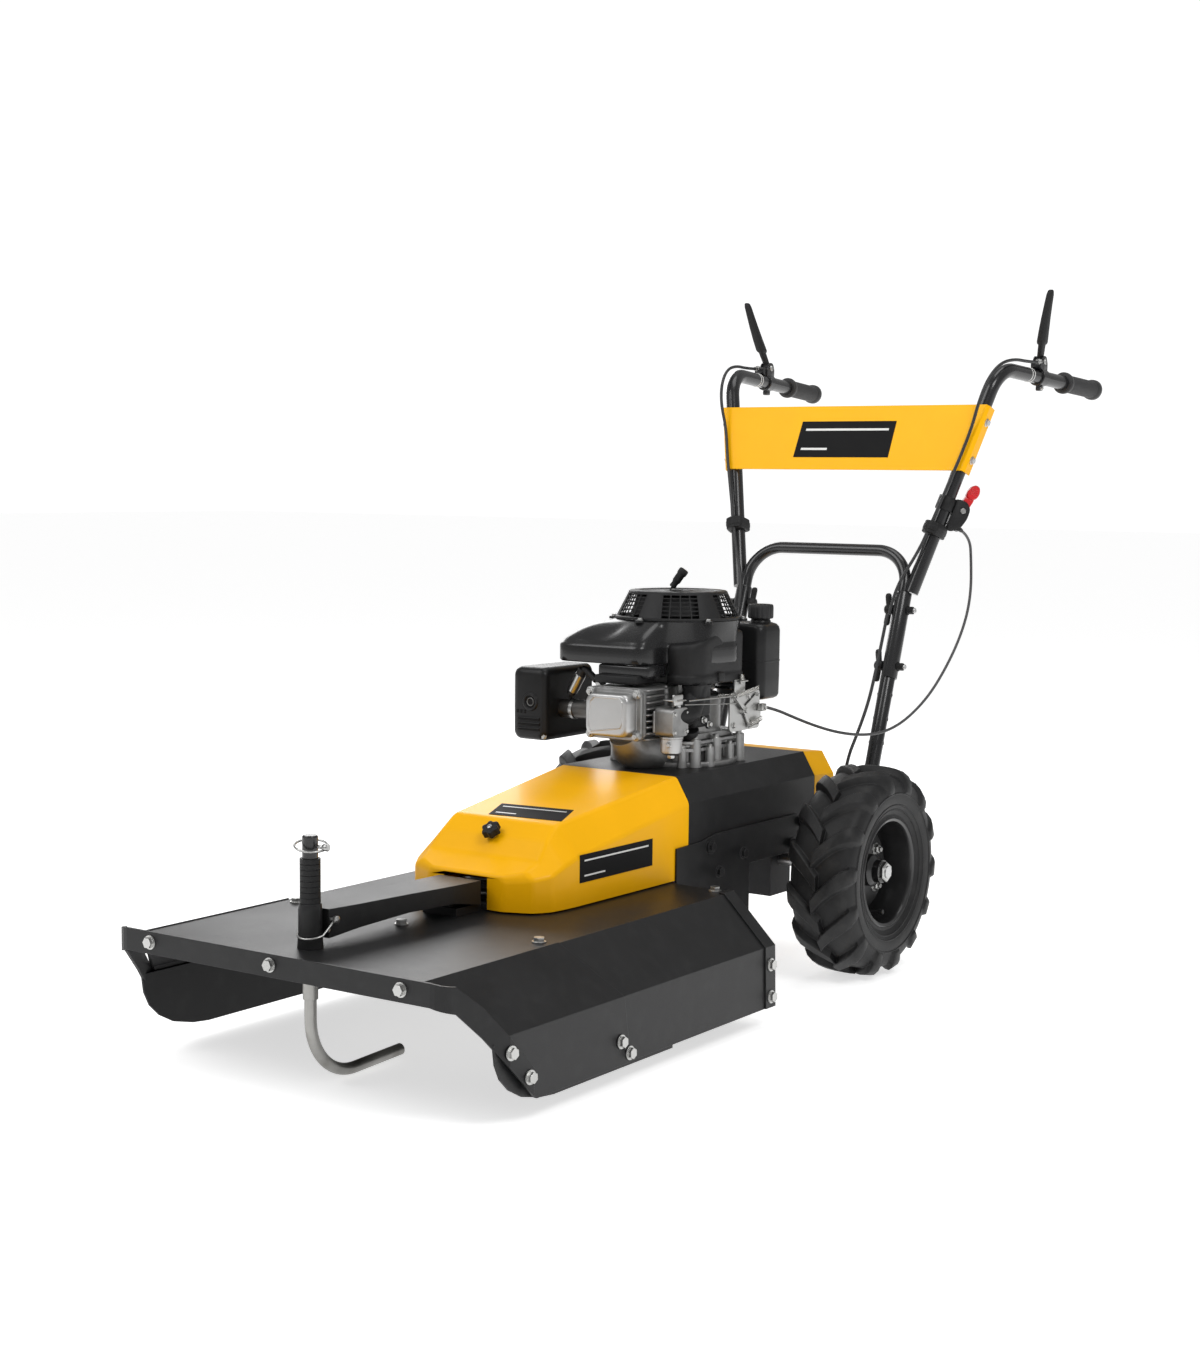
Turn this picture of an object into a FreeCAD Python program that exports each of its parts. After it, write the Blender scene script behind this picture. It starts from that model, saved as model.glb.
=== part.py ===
# Two-wheeled walk-behind brush mower, as a parametric FreeCAD document.
# Units are millimetres.  The machine's front is -Y, its left side is +X, +Z is up.
# Sub-parts are laid out about the wheel axle (y = 0 under the axle, z = 0 on the ground);
# every sub-part is then moved by size.shift_y, which puts the origin under the middle of
# the machine's bounding box, on the ground.
import FreeCAD, Part
import os
import math
from FreeCAD import Vector, Placement, Rotation

os.makedirs("parts", exist_ok=True)
doc = FreeCAD.newDocument("brush_mower")
size = doc.addObject("Spreadsheet::Sheet", "size")

CELLS = [
    ("shift_y", 159.5), ("track_half", 251.7), ("tyre_radius", 168.0), ("tyre_width", 112.0),
    ("rim_radius", 84.0), ("rim_half_width", 50.0), ("axle_radius", 10.0), ("axle_height", 168.0),
    ("deck_length", 726.0), ("deck_mid_y", -739.0), ("deck_wall", 2.5), ("deck_top_z", 187.0),
    ("deck_fold_x", 236.0), ("deck_low_x", 306.0), ("deck_low_z", 117.0), ("deck_side_x", 308.5),
    ("deck_bottom_z", 28.0), ("strip_length", 27.0), ("strip_mid_y", -389.5),
    ("rotor_y", -640.0), ("bulge_radius", 300.5), ("spindle_radius", 12.5), ("spindle_clearance", 0.06), ("disc_radius", 222.0),
    ("disc_thick", 6.0), ("disc_z", 84.0), ("blade_pivot", 200.0), ("blade_tip", 288.0),
    ("blade_thick", 5.0), ("blade_z", 73.0), ("pin_radius", 7.0), ("pin_clearance", 0.08),
    ("pulley_radius", 55.0), ("pulley_groove", 44.0), ("crank_pulley_radius", 40.0),
    ("crank_pulley_groove", 30.0), ("pulley_z", 205.0), ("pulley_width", 24.0),
    ("engine_y", -168.0), ("crank_radius", 12.5), ("engine_base_z", 341.0),
    ("chassis_half", 130.0), ("chassis_top_half", 107.5), ("chassis_top_z", 341.0),
    ("chassis_chamfer_z", 303.0), ("chassis_low_z", 192.0), ("chassis_wall", 2.5),
    ("chassis_length", 386.0), ("chassis_mid_y", -138.0),
    ("rear_cover_length", 78.0), ("rear_cover_mid_y", 96.0),
    ("post_y", -1031.0), ("sleeve_radius", 15.5), ("rod_radius", 8.0), ("rod_clearance", 0.08),
    ("sleeve_height", 58.0), ("ring_radius", 13.5), ("ring_height", 6.4), ("ring_pitch", 7.3),
    ("rod_top_z", 331.0), ("rod_bend", 92.0),
    ("leg_x", 158.0), ("leg_radius", 12.5), ("hoop_radius", 10.2), ("hoop_bend", 62.0),
    ("tube_radius", 12.5), ("tube_wall", 2.0), ("saddle_radius", 15.4), ("saddle_clearance", 0.4),
    ("top_bend", 58.0), ("grip_radius", 15.8), ("grip_length", 124.0),
    ("panel_thick", 1.6), ("lever_pin_radius", 3.5), ("lever_clearance", 0.06),
    ("throttle_pin_radius", 4.0), ("guard_base_radius", 99.0), ("guard_top_radius", 78.0),
    ("guard_base_z", 569.0), ("guard_height", 44.0), ("flywheel_radius", 84.0),
    ("tank_width", 88.0), ("tank_depth", 66.0), ("tank_height", 124.0), ("cap_radius", 21.0),
    ("cable_radius", 2.4), ("clutch_cable_radius", 2.8), ("bolt_across", 7.5), ("bolt_head", 5.3),
    ("washer_radius", 9.5), ("washer_thick", 1.6),
]
for row, (alias, value) in enumerate(CELLS, 1):
    size.set("A%d" % row, alias)
    size.set("B%d" % row, str(value))
    size.setAlias("B%d" % row, alias)
doc.recompute()
D = dict(CELLS)
V = Vector
NODES = []


def place(obj, x=0.0, y=0.0, z=0.0, axis=(0, 0, 1), angle=0.0):
    obj.Placement = Placement(V(x, y, z), Rotation(V(*axis), angle))
    return obj


def bind(obj, **expr):
    for prop, text in expr.items():
        obj.setExpression(prop, text)
    return obj


def node(obj, label):
    """A finished sub-part: named, and shifted to the machine's origin."""
    obj.Label = label
    base = obj.Placement.Base
    obj.Placement = Placement(V(base.x, base.y + D["shift_y"], base.z), obj.Placement.Rotation)
    NODES.append(obj)
    return obj


def cylinder(r, h, x=0.0, y=0.0, z=0.0, axis=None, name="cylinder"):
    """Part::Cylinder with radius and height as numbers or sheet expressions."""
    c = doc.addObject("Part::Cylinder", name)
    for prop, val in (("Radius", r), ("Height", h)):
        if isinstance(val, str):
            c.setExpression(prop, val)
        else:
            setattr(c, prop, val)
    rot = Rotation(V(0, 0, 1), V(*axis)) if axis else Rotation()
    c.Placement = Placement(V(x, y, z), rot)
    return c


def box(lx, ly, lz, x, y, z, name="box"):
    b = doc.addObject("Part::Box", name)
    for prop, val in (("Length", lx), ("Width", ly), ("Height", lz)):
        if isinstance(val, str):
            b.setExpression(prop, val)
        else:
            setattr(b, prop, val)
    b.Placement = Placement(V(x, y, z), Rotation())
    return b


def fuse(objs, name="fusion"):
    f = doc.addObject("Part::MultiFuse", name)
    f.Shapes = objs
    return f


def cut(base, tool, name="cut"):
    c = doc.addObject("Part::Cut", name)
    c.Base = base
    c.Tool = tool
    return c


def feature(shape, name="feature"):
    f = doc.addObject("Part::Feature", name)
    f.Shape = shape
    return f


def mirrored_pair(obj, name="pair"):
    m = doc.addObject("Part::Mirroring", "mirror")
    m.Source = obj
    m.Normal = V(1, 0, 0)
    m.Base = V(0, 0, 0)
    return fuse([obj, m], name)


def plane_of(body, role):
    return [f for f in body.Origin.OriginFeatures if f.Role == role][0]


def sketch(body, role, loops):
    sk = body.newObject("Sketcher::SketchObject", "sketch")
    sk.AttachmentSupport = (plane_of(body, role), [""])
    sk.MapMode = "FlatFace"
    for loop in loops:
        if loop[0] == "circle":
            sk.addGeometry(Part.Circle(V(loop[1], loop[2], 0), V(0, 0, 1), loop[3]), False)
            continue
        for i in range(len(loop)):
            a, b = loop[i], loop[(i + 1) % len(loop)]
            sk.addGeometry(Part.LineSegment(V(a[0], a[1], 0), V(b[0], b[1], 0)), False)
    return sk


def prism(role, loops, length, name="prism"):
    """PartDesign body: a pad, symmetric about the body's origin plane."""
    body = doc.addObject("PartDesign::Body", name)
    sk = sketch(body, role, loops)
    pad = body.newObject("PartDesign::Pad", "pad")
    pad.Profile = sk
    if isinstance(length, str):
        pad.setExpression("Length", length)
    else:
        pad.Length = length
    pad.SideType = "Symmetric"
    body.Tip = pad
    return body


def pocket(body, role, loops, length):
    doc.recompute()
    before = body.Shape.Volume
    sk = sketch(body, role, loops)
    p = body.newObject("PartDesign::Pocket", "pocket")
    p.Profile = sk
    p.Length = length
    p.SideType = "Symmetric"
    body.Tip = p
    doc.recompute()
    if not body.Shape.Volume < before - 1e-3:
        raise RuntimeError("pocket cut nothing in " + body.Name)
    return p


def turned(points, name="turned"):
    """PartDesign body: a profile of (radius, height) points turned about the body's Z axis."""
    body = doc.addObject("PartDesign::Body", name)
    sk = sketch(body, "XZ_Plane", [points])
    rev = body.newObject("PartDesign::Revolution", "revolution")
    rev.Profile = sk
    rev.ReferenceAxis = (sk, ["V_Axis"])
    rev.Angle = 360
    body.Tip = rev
    return body


def skin(sections, closed_ends=True):
    """Closed solid through matching closed sections of points, flat triangles between them."""
    faces = []

    def tri(a, b, c):
        if a.distanceToPoint(b) < 1e-6 or b.distanceToPoint(c) < 1e-6 or a.distanceToPoint(c) < 1e-6:
            return
        faces.append(Part.Face(Part.makePolygon([a, b, c, a])))

    def quad(a, b, c, d):
        n = (b - a).cross(c - a)
        if n.Length > 1e-6 and abs((d - a).dot(n) / n.Length) < 1e-5:
            faces.append(Part.Face(Part.makePolygon([a, b, c, d, a])))
        else:
            tri(a, b, c)
            tri(a, c, d)

    secs = [[V(*p) for p in s] for s in sections]
    n = len(secs[0])
    for s0, s1 in zip(secs[:-1], secs[1:]):
        for i in range(n):
            j = (i + 1) % n
            quad(s0[i], s0[j], s1[j], s1[i])
    for s in (secs[0], secs[-1]):
        faces.append(Part.Face(Part.makePolygon(s + [s[0]])))
    shell = Part.makeShell(faces)
    solid = Part.makeSolid(shell)
    if solid.Volume < 0:
        solid.reverse()
    return solid


def tube_path(points, radii):
    """Straight runs joined by tangent arcs, one radius for each inner point."""
    pts = [V(*p) for p in points]
    edges, last = [], pts[0]
    for i in range(1, len(pts) - 1):
        a = (pts[i - 1] - pts[i]).normalize()
        b = (pts[i + 1] - pts[i]).normalize()
        turn = math.pi - a.getAngle(b)
        back = radii[i - 1] * math.tan(turn / 2)
        p0 = pts[i] + a * back
        p1 = pts[i] + b * back
        centre_dir = (a + b).normalize()
        centre = pts[i] + centre_dir * (radii[i - 1] / math.cos(turn / 2))
        mid = centre - centre_dir * radii[i - 1]
        if last.distanceToPoint(p0) > 1e-4:
            edges.append(Part.LineSegment(last, p0).toShape())
        edges.append(Part.Arc(p0, mid, p1).toShape())
        last = p1
    edges.append(Part.LineSegment(last, pts[-1]).toShape())
    return Part.Wire(edges)


def tube(points, radii, radius):
    wire = tube_path(points, radii)
    start = V(*points[0])
    direction = V(*points[1]) - start
    ring = Part.Wire([Part.Circle(start, direction, radius).toShape()])
    solid = wire.makePipeShell([ring], True, False)
    if solid.ShapeType != "Solid":
        solid = Part.makeSolid(solid)
    return solid, wire.Length


def natural_radii(points):
    """The largest arc that each inner point of a cord's route has room for."""
    pts = [V(*p) for p in points]
    out = []
    for i in range(1, len(pts) - 1):
        a, b = pts[i - 1] - pts[i], pts[i + 1] - pts[i]
        turn = math.pi - a.getAngle(b)
        out.append(0.45 * min(a.Length, b.Length) / math.tan(turn / 2))
    return out


def hexagon(radius, height, at, direction):
    pts = [V(radius * math.cos(math.radians(60 * k)), radius * math.sin(math.radians(60 * k)), 0) for k in range(6)]
    solid = Part.Face(Part.makePolygon(pts + [pts[0]])).extrude(V(0, 0, height))
    solid.Placement = Placement(V(*at), Rotation(V(0, 0, 1), V(*direction)))
    return solid


def bolt(at, direction):
    """Washer and hexagon head standing on a surface at a point, along its normal."""
    d = V(*direction).normalize()
    washer = Part.makeCylinder(D["washer_radius"], D["washer_thick"], V(*at), d)
    head = hexagon(D["bolt_across"], D["bolt_head"], tuple(V(*at) + d * D["washer_thick"]), tuple(d))
    return washer.fuse(head)


def bar(a, b, r):
    a, b = V(*a), V(*b)
    return Part.makeCylinder(r, (b - a).Length, a, b - a)


# ------------------------------------------------------------------ cutting deck
fx, lx, lz, sx = D["deck_fold_x"], D["deck_low_x"], D["deck_low_z"], D["deck_side_x"]
tz, bz, w = D["deck_top_z"], D["deck_bottom_z"], D["deck_wall"]
outer = [(sx, bz), (lx, lz), (fx, tz)]
inner = [(fx - 1.0, tz - w), (lx - w, lz - 1.0), (sx - w, bz)]
# the band runs up the left side, over the top and down the right, then back inside
band = outer + [(-x, z) for x, z in reversed(outer)] + [(-x, z) for x, z in reversed(inner)] + inner
deck = prism("XZ_Plane", [band], "size.deck_length", "deck_body")
ym = D["deck_mid_y"]
front = [(-1101.5 - ym, tz - w - 0.2), (-1015 - ym, 116), (-977 - ym, 46), (-955 - ym, 20), (-1140 - ym, 20), (-1140 - ym, tz - w - 0.2)]
pocket(deck, "YZ_Plane", [front], 700)
place(deck, y=ym)
deck.setExpression(".Placement.Base.y", None)
# rear wall of the deck, welded across between the sides
rear_wall = prism("XZ_Plane", [[(-(sx - 4), 60), (-(lx - 3.6), lz - 1.2), (-(fx - 1), tz - w), (fx - 1, tz - w), (lx - 3.6, lz - 1.2), (sx - 4, 60)]], 2.5, "rear_wall")
place(rear_wall, y=-377.25)
# round bulge at the back, concentric with the rotor, under the chassis
rb_ = D["bulge_radius"]
bulge = turned([(0, tz - w), (rb_ - w, tz - w), (rb_ - w, 60), (rb_, 60), (rb_, tz), (0, tz)], "bulge")
place(bulge, y=D["rotor_y"])
bulge_keep = box(276, 60, 160, -138, -377.0, 40, "bulge_keep")
bulge_part = doc.addObject("Part::Common", "bulge_part")
bulge_part.Base = bulge
bulge_part.Tool = bulge_keep
wall_gap = box(268, 12, 126.5, -134, -384.0, 58, "wall_gap")
deck_all = fuse([cut(fuse([deck, rear_wall], "deck_union"), wall_gap, "deck_open"), bulge_part], "deck_all")
housing_hole = cylinder(42, 20, 0, D["rotor_y"], 175, name="housing_hole")
rod_hole = cylinder(10.5, 20, 0, D["post_y"], 175, name="rod_hole")
deck_shell = cut(deck_all, fuse([housing_hole, rod_hole], "deck_holes"), "deck_shell")
node(deck_shell, "deck_shell")

# bolted panels: outer front extensions, and inner skid plates with rounded front corners
t = 2.5
ext = [(fx, tz), (lx, lz), (sx, bz), (sx + t, bz), (lx + t, lz + 0.9), (fx + 1.8, tz + 1.8)]
extension = prism("XZ_Plane", [ext], 352, "extension")
ey = -1104 + 176
front_e = [(y + ym - ey, z) for y, z in front]
front_e[0] = (-1101.5 - ey, tz + 4)
front_e[-1] = (-1140 - ey, tz + 4)
pocket(extension, "YZ_Plane", [front_e], 700)
seam = [(-816 - ey, tz + 4), (-816 - ey, tz), (-766 - ey, 117), (-752 - ey, 20), (-700 - ey, 20), (-700 - ey, tz + 4)]
pocket(extension, "YZ_Plane", [seam], 700)
place(extension, y=ey)
skid_y = -850.0
skid_pts = [(-1040, 110), (-1036, 84), (-1026, 64), (-1008, 47), (-982, 33), (-945, 24), (-915, 21), (-640, 21), (-640, 110)]
skid = prism("YZ_Plane", [[(y - skid_y, z) for y, z in skid_pts]], 3.0, "skid")
place(skid, x=301.5, y=skid_y)

# front bar: a flat strip on edge, bent round both front corners and down the side edges
def strip(stations, thick):
    secs = []
    for i, (x, y, z0, z1) in enumerate(stations):
        if i == 0:
            dx, dy = stations[1][0] - x, stations[1][1] - y
        elif i == len(stations) - 1:
            dx, dy = x - stations[i - 1][0], y - stations[i - 1][1]
        else:
            dx, dy = stations[i + 1][0] - stations[i - 1][0], stations[i + 1][1] - stations[i - 1][1]
        n = math.hypot(dx, dy)
        ox, oy = -dy / n * thick, dx / n * thick
        secs.append([(x, y, z0), (x, y, z1), (x + ox, y + oy, z1), (x + ox, y + oy, z0)])
    return skin(secs)


left_bar = [(258, -1106, 162, 192)]
for k in range(1, 6):
    a = math.radians(-90 + 15 * k)
    left_bar.append((258 + 26 * math.cos(a), -1080 + 26 * math.sin(a), 162 - 1.6 * k, 192 - 0.9 * k))
left_bar += [(297, -1052, 119, 158), (311.2, -1017, 78, 117), (315.2, -973, 34, 70)]
right_bar = [(-x, y, a, b) for x, y, a, b in reversed(left_bar)]
front_bar = feature(strip(right_bar + left_bar, 4.0), "front_bar")
node(front_bar, "front_bar")

# strip round the rear edge of the deck, in two halves
rear_strip = prism("XZ_Plane", [[(fx - 8, tz), (fx, tz), (lx, lz), (sx, bz), (sx + t, bz), (lx + t, lz + 0.9), (fx + 1.0, tz + 2.2), (fx - 8, tz + 2.2)]], "size.strip_length", "strip")
place(rear_strip, y=D["strip_mid_y"])
side_panels = mirrored_pair(fuse([extension, skid, rear_strip], "left_panels"), "side_panels")
node(side_panels, "side_panels")

bolts = []
for x in (-213.6, 0, 213.6):
    bolts.append(bolt((x, -1106, 178), (0, -1, 0)))
for s in (-1, 1):
    bolts.append(bolt((s * 311.5, -1015.7, 97), (s, -0.09, 0)))
    bolts.append(bolt((s * 314.7, -981.3, 60), (s, -0.09, 0)))
    bolts.append(bolt((s * 310.9, -777, 60), (s, 0, 0.02)))
    bolts.append(bolt((s * 311.0, -757, 41), (s, 0, 0.02)))
    bolts.append(bolt((s * 213, -826, tz), (0, 0, 1)))
    for x, z in ((309.3, 91), (310.6, 44)):
        bolts.append(bolt((s * x, -389.5, z), (s, 0, 0.03)))
bolts.append(bolt((0, -850, tz), (0, 0, 1)))
for s in (-1, 1):
    bolts.append(bolt((s * 212, -388, tz), (0, 0, 1)))
deck_bolts = feature(Part.makeCompound(bolts), "deck_bolts")
node(deck_bolts, "deck_bolts")

# ------------------------------------------------------------------ rotor under the deck
ry = D["rotor_y"]
rs = D["spindle_radius"]
rc = rs + D["spindle_clearance"]
housing = turned([(rc, 98), (40, 98), (40, tz), (66, tz), (66, tz + 7), (36, tz + 7), (36, 200), (rc, 200)], "housing")
place(housing, y=ry)
node(housing, "spindle_housing")
# the housing's flange stands on the deck round its hole
spindle = turned([(0, 64), (15, 64), (15, 76), (rs, 76), (rs, 238), (0, 238)], "spindle")
place(spindle, y=ry)
node(spindle, "rotor_spindle")
dz, dt = D["disc_z"], D["disc_thick"]
disc = turned([(rs, dz - 6), (34, dz - 6), (34, dz), (D["disc_radius"], dz), (D["disc_radius"], dz + dt), (rs, dz + dt)], "disc")
place(disc, y=ry)
pins = []
for s in (-1, 1):
    pin = cylinder("size.pin_radius", 15.0, s * D["blade_pivot"], ry, 69.4, name="blade_pin")
    head = cylinder(12.5, 3.4, s * D["blade_pivot"], ry, 66.0, name="pin_head")
    pins += [pin, head]
node(fuse([disc] + pins, "cutting_disc"), "cutting_disc")
for label, s in (("blade_left", 1), ("blade_right", -1)):
    outline = [(-20, -18), (-8, -25), (62, -25), (86, -17), (88, -6), (88, 20), (70, 25), (-8, 25), (-20, 18)]
    b = prism("XY_Plane", [outline, ("circle", 0, 0, D["pin_radius"] + D["pin_clearance"])], "size.blade_thick", label + "_body")
    place(b, s * D["blade_pivot"], ry, D["blade_z"] + 2.5 + 1.5, angle=0 if s > 0 else 180)
    node(b, label)
pz, pw = D["pulley_z"], D["pulley_width"]


def pulley(r, g, bore):
    return [(bore, pz), (r, pz), (r, pz + 3), (g, pz + 7.5), (g, pz + pw - 7.5), (r, pz + pw - 3), (r, pz + pw), (bore, pz + pw)]


sp = turned(pulley(D["pulley_radius"], D["pulley_groove"], rs), "spindle_pulley")
place(sp, y=ry)
node(sp, "spindle_pulley")
cp = turned(pulley(D["crank_pulley_radius"], D["crank_pulley_groove"], D["crank_radius"]), "crank_pulley")
place(cp, y=D["engine_y"])
node(cp, "crank_pulley")


# V belt in both grooves, on the outer tangents of the two pulleys
def loop_wire(r1, y1, r2, y2, z):
    d = y2 - y1
    s = (r1 - r2) / d
    c = math.sqrt(1 - s * s)
    a1, a2 = V(c * r1, y1 + s * r1, z), V(c * r2, y2 + s * r2, z)
    b1, b2 = V(-a1.x, a1.y, z), V(-a2.x, a2.y, z)
    return Part.Wire([Part.LineSegment(a1, a2).toShape(), Part.Arc(a2, V(0, y2 + r2, z), b2).toShape(),
                      Part.LineSegment(b2, b1).toShape(), Part.Arc(b1, V(0, y1 - r1, z), a1).toShape()])


bz0 = pz + 8.3
outer_face = Part.Face(loop_wire(D["pulley_groove"] + 8, ry, D["crank_pulley_groove"] + 8, D["engine_y"], bz0))
inner_face = Part.Face(loop_wire(D["pulley_groove"] + 0.4, ry, D["crank_pulley_groove"] + 0.4, D["engine_y"], bz0))
belt = outer_face.cut(inner_face).extrude(V(0, 0, pw - 16.6))
node(feature(belt.Solids[0], "drive_belt"), "drive_belt")

# ------------------------------------------------------------------ front beam, post and glide rod
py = D["post_y"]
beam = feature(skin([
    [(-19, py + 14.5, 199), (-19, py + 14.5, 237), (19, py + 14.5, 237), (19, py + 14.5, 199)],
    [(-24, -960, 205), (-24, -960, 236), (24, -960, 236), (24, -960, 205)],
    [(-30, -870, 210), (-30, -870, 235), (30, -870, 235), (30, -870, 210)],
    [(-35, -780, 208), (-35, -780, 233), (35, -780, 233), (35, -780, 208)],
    [(-36, -722, 198), (-36, -722, 232), (36, -722, 232), (36, -722, 198)],
]), "beam_box")
foot = box(60, 54, 11.5, -30, -768, tz, "beam_foot")
foot2 = box(30, 36, 13, -15, -764, tz + 10, "beam_foot_web")
node(fuse([beam, foot, foot2], "front_beam"), "front_beam")

rr = D["rod_radius"] + 2.0
sleeve = turned([(rr + D["rod_clearance"], tz), (D["sleeve_radius"] + 1.5, tz), (D["sleeve_radius"], tz + 20), (D["sleeve_radius"], 238), (D["sleeve_radius"] - 1, 245), (rr + D["rod_clearance"], 245)], "sleeve")
place(sleeve, y=py)
node(sleeve, "post_sleeve")
rings = []
for k in range(8):
    z0 = 245.4 + k * D["ring_pitch"]
    rings.append(Part.makeCylinder(D["ring_radius"], D["ring_height"] + 0.4, V(0, py, z0)).cut(Part.makeCylinder(rr + 0.1, 20, V(0, py, z0 - 1))))
stack = Part.makeCylinder(D["ring_radius"] - 1.2, 7 * D["ring_pitch"] + D["ring_height"], V(0, py, 245.0)).cut(Part.makeCylinder(rr + 0.1, 80, V(0, py, 240)))
for r in rings:
    stack = stack.fuse(r)
node(feature(stack.Solids[0], "spacer_rings"), "spacer_rings")
rb = D["rod_bend"]
rod, rod_len = tube([(0, py, 120), (0, py, 8.0), (0, -852, 15.5)], [82.0], D["rod_radius"])
rod_low = feature(rod, "rod_hook")
rod_mid = cylinder(rr, 185.0, 0, py, 120.0, name="rod_body")
rod_top = cylinder(rr, 26.0, 0, py, 305.0, name="rod_top")
node(fuse([rod_low, rod_mid, rod_top], "skid_rod"), "skid_rod")
ring = doc.addObject("Part::Torus", "pin_ring")
ring.Radius1 = 21.5
ring.Radius2 = 1.6
place(ring, 2, py, 319.5, (1, 1, 0), 12)
pin_a = cylinder(2.4, 12, 14.0, py, 319.5, (1, 0, 0), "pin_stub")
pin_b = cylinder(4.6, 9, 22.5, py, 319.5, (1, 0, 0), "pin_block")
pin_c = cylinder(2.4, 5.0, 9.95, py, 319.5, (1, 0, 0), "pin_in")
node(fuse([ring, pin_a, pin_b, pin_c], "lynch_pin"), "lynch_pin")
clip = doc.addObject("Part::Torus", "clip_ring")
clip.Radius1 = 20.5
clip.Radius2 = 1.5
place(clip, 3.5, py + 2.0, 208.0, (1, 0.3, 0), 18)
clip_b = cylinder(1.5, 19, 20.5, py + 8, 212, (0.4, 0.55, 0.9), "clip_arm")
clip_c = cylinder(5.2, 6.5, 25.5, py + 17, 224, (1, 0.1, 0), "clip_head")
clip_d = cylinder(2.4, 10, 17.5, py + 17, 224, (1, 0, 0), "clip_pin")
node(fuse([clip, clip_b, clip_c, clip_d], "spring_clip"), "spring_clip")


# ------------------------------------------------------------------ belt hood and its knob
def hood_section(y, wd, zs, wt, zt, zb):
    return [(-wd, y, zb), (-wd, y, zs), (-wt, y, zt), (wt, y, zt), (wd, y, zs), (wd, y, zb)]


H = [(-711, 66, 232, 58, 240), (-694, 106, 236, 92, 246), (-670, 121, 240, 96, 257), (-646, 124, 250, 93, 283), (-620, 126, 258, 91, 303), (-333, 130, 303, 107, 341)]
hood_out = skin([hood_section(y, a, b, c, d, 189.5) for y, a, b, c, d in H])
g = 2.6
HI = [(-708.2, 62, 229.4, 55, 237.4), (-692.5, 102.5, 233.4, 89, 243.2), (-668.5, 118.2, 237.4, 93.5, 254.2), (-644, 121.4, 247.4, 90.6, 280.2), (-618.5, 123.4, 255.6, 88.8, 300.2), (-325, 127.4, 302.2, 104.8, 338.6)]
hood_in = skin([hood_section(y, a, b, c, d, 180) for y, a, b, c, d in HI])
notch = Part.makeBox(77, 40, 60, V(-38.5, -730, 180))
hood_shape = hood_out.cut(hood_in).cut(notch)
hood_shape = hood_shape.cut(Part.makeCylinder(5.12, 60, V(0, -646.5 + 18.6, 283.5 - 23.5), V(0, -0.62, 0.785)))
hood = feature(hood_shape.Solids[0], "hood")
node(hood, "hood")
kn = V(0, -0.62, 0.785).normalize()
kc = V(0, -646.5, 283.5)
lobes = [Part.makeCylinder(4.6, 12, kc + kn * 3 + V(math.cos(a) * 9.5, 0, 0) + kn.cross(V(1, 0, 0)) * (math.sin(a) * 9.5), kn) for a in [math.radians(60 * k) for k in range(6)]]
knob = Part.makeCylinder(10.5, 12, kc + kn * 3, kn)
for l in lobes:
    knob = knob.fuse(l)
knob = knob.fuse(Part.makeCylinder(5.0, 26, kc - kn * 14, kn)).fuse(Part.makeCylinder(3.6, 2.0, kc + kn * 15, kn))
node(feature(knob.removeSplitter(), "hood_knob"), "hood_knob")

# ------------------------------------------------------------------ chassis
ch, ct, cz, cm, cl, cw = D["chassis_half"], D["chassis_top_half"], D["chassis_top_z"], D["chassis_chamfer_z"], D["chassis_low_z"], D["chassis_wall"]
oc = [(ch, cl), (ch, cm), (ct, cz)]
ic = [(ct - 1.3, cz - cw), (ch - cw, cm - 0.8), (ch - cw, cl)]
chassis = prism("XZ_Plane", [oc + [(-x, z) for x, z in reversed(oc)] + [(-x, z) for x, z in reversed(ic)] + ic], "size.chassis_length", "chassis")
pocket(chassis, "XY_Plane", [("circle", 0, D["engine_y"] - D["chassis_mid_y"], 60.0)], 800)
place(chassis, y=D["chassis_mid_y"])
node(chassis, "chassis_box")
plate = [(-369, 108), (-369, 238), (-300, 240), (-258, 247), (-8, 247), (30, 232), (44, 187), (-156, 187), (-156, 108)]
sp_body = prism("YZ_Plane", [plate], 3.0, "side_plate")
place(sp_body, x=ch + 1.5)
# bolts through the side plates, and the round nut near the hood
sb = [bolt((ch + 3, y, z), (1, 0, 0)) for y, z in ((-177, 206), (-249, 187), (-19, 200), (10, 232))]
sb.append(Part.makeCylinder(10.5, 4, V(ch + 3, -276, 229), V(1, 0, 0)).fuse(hexagon(7, 8, (ch + 3, -276, 229), (1, 0, 0))))
latch = Part.makeCylinder(2.2, 66, V(ch - 16, -316, 325), V(0.06, 1.0, 0.10)).fuse(Part.makeCylinder(5, 5, V(ch - 14, -300, 324), V(1, 0, 0)))
side = fuse([sp_body, feature(Part.makeCompound(sb), "side_bolts")], "side_left")
node(mirrored_pair(side, "side_plates"), "side_plates")


def cover_section(y, k):
    zt = 341 - k
    return [(-ch, y, 196), (-ch, y, cm - k * 0.6), (-ct, y, zt), (ct, y, zt), (ch, y, cm - k * 0.6), (ch, y, 196)]


cov_out = skin([cover_section(56, 0), cover_section(120, 5), [(-ch + 8, 136, 196), (-ch + 8, 136, 290), (-ct + 6, 136, 326), (ct - 6, 136, 326), (ch - 8, 136, 290), (ch - 8, 136, 196)]])
cov_in = skin([[(x * 0.977, y, z - (2.6 if z > 250 else 12)) for x, _, z in cover_section(0, k)] for y, k in ((50, 0), (119, 5))] + [[(-ch + 12, 133.4, 184), (-ch + 12, 133.4, 288), (-ct + 9, 133.4, 323), (ct - 9, 133.4, 323), (ch - 12, 133.4, 288), (ch - 12, 133.4, 184)]])
node(feature(cov_out.cut(cov_in).Solids[0], "rear_cover"), "rear_cover")

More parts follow.
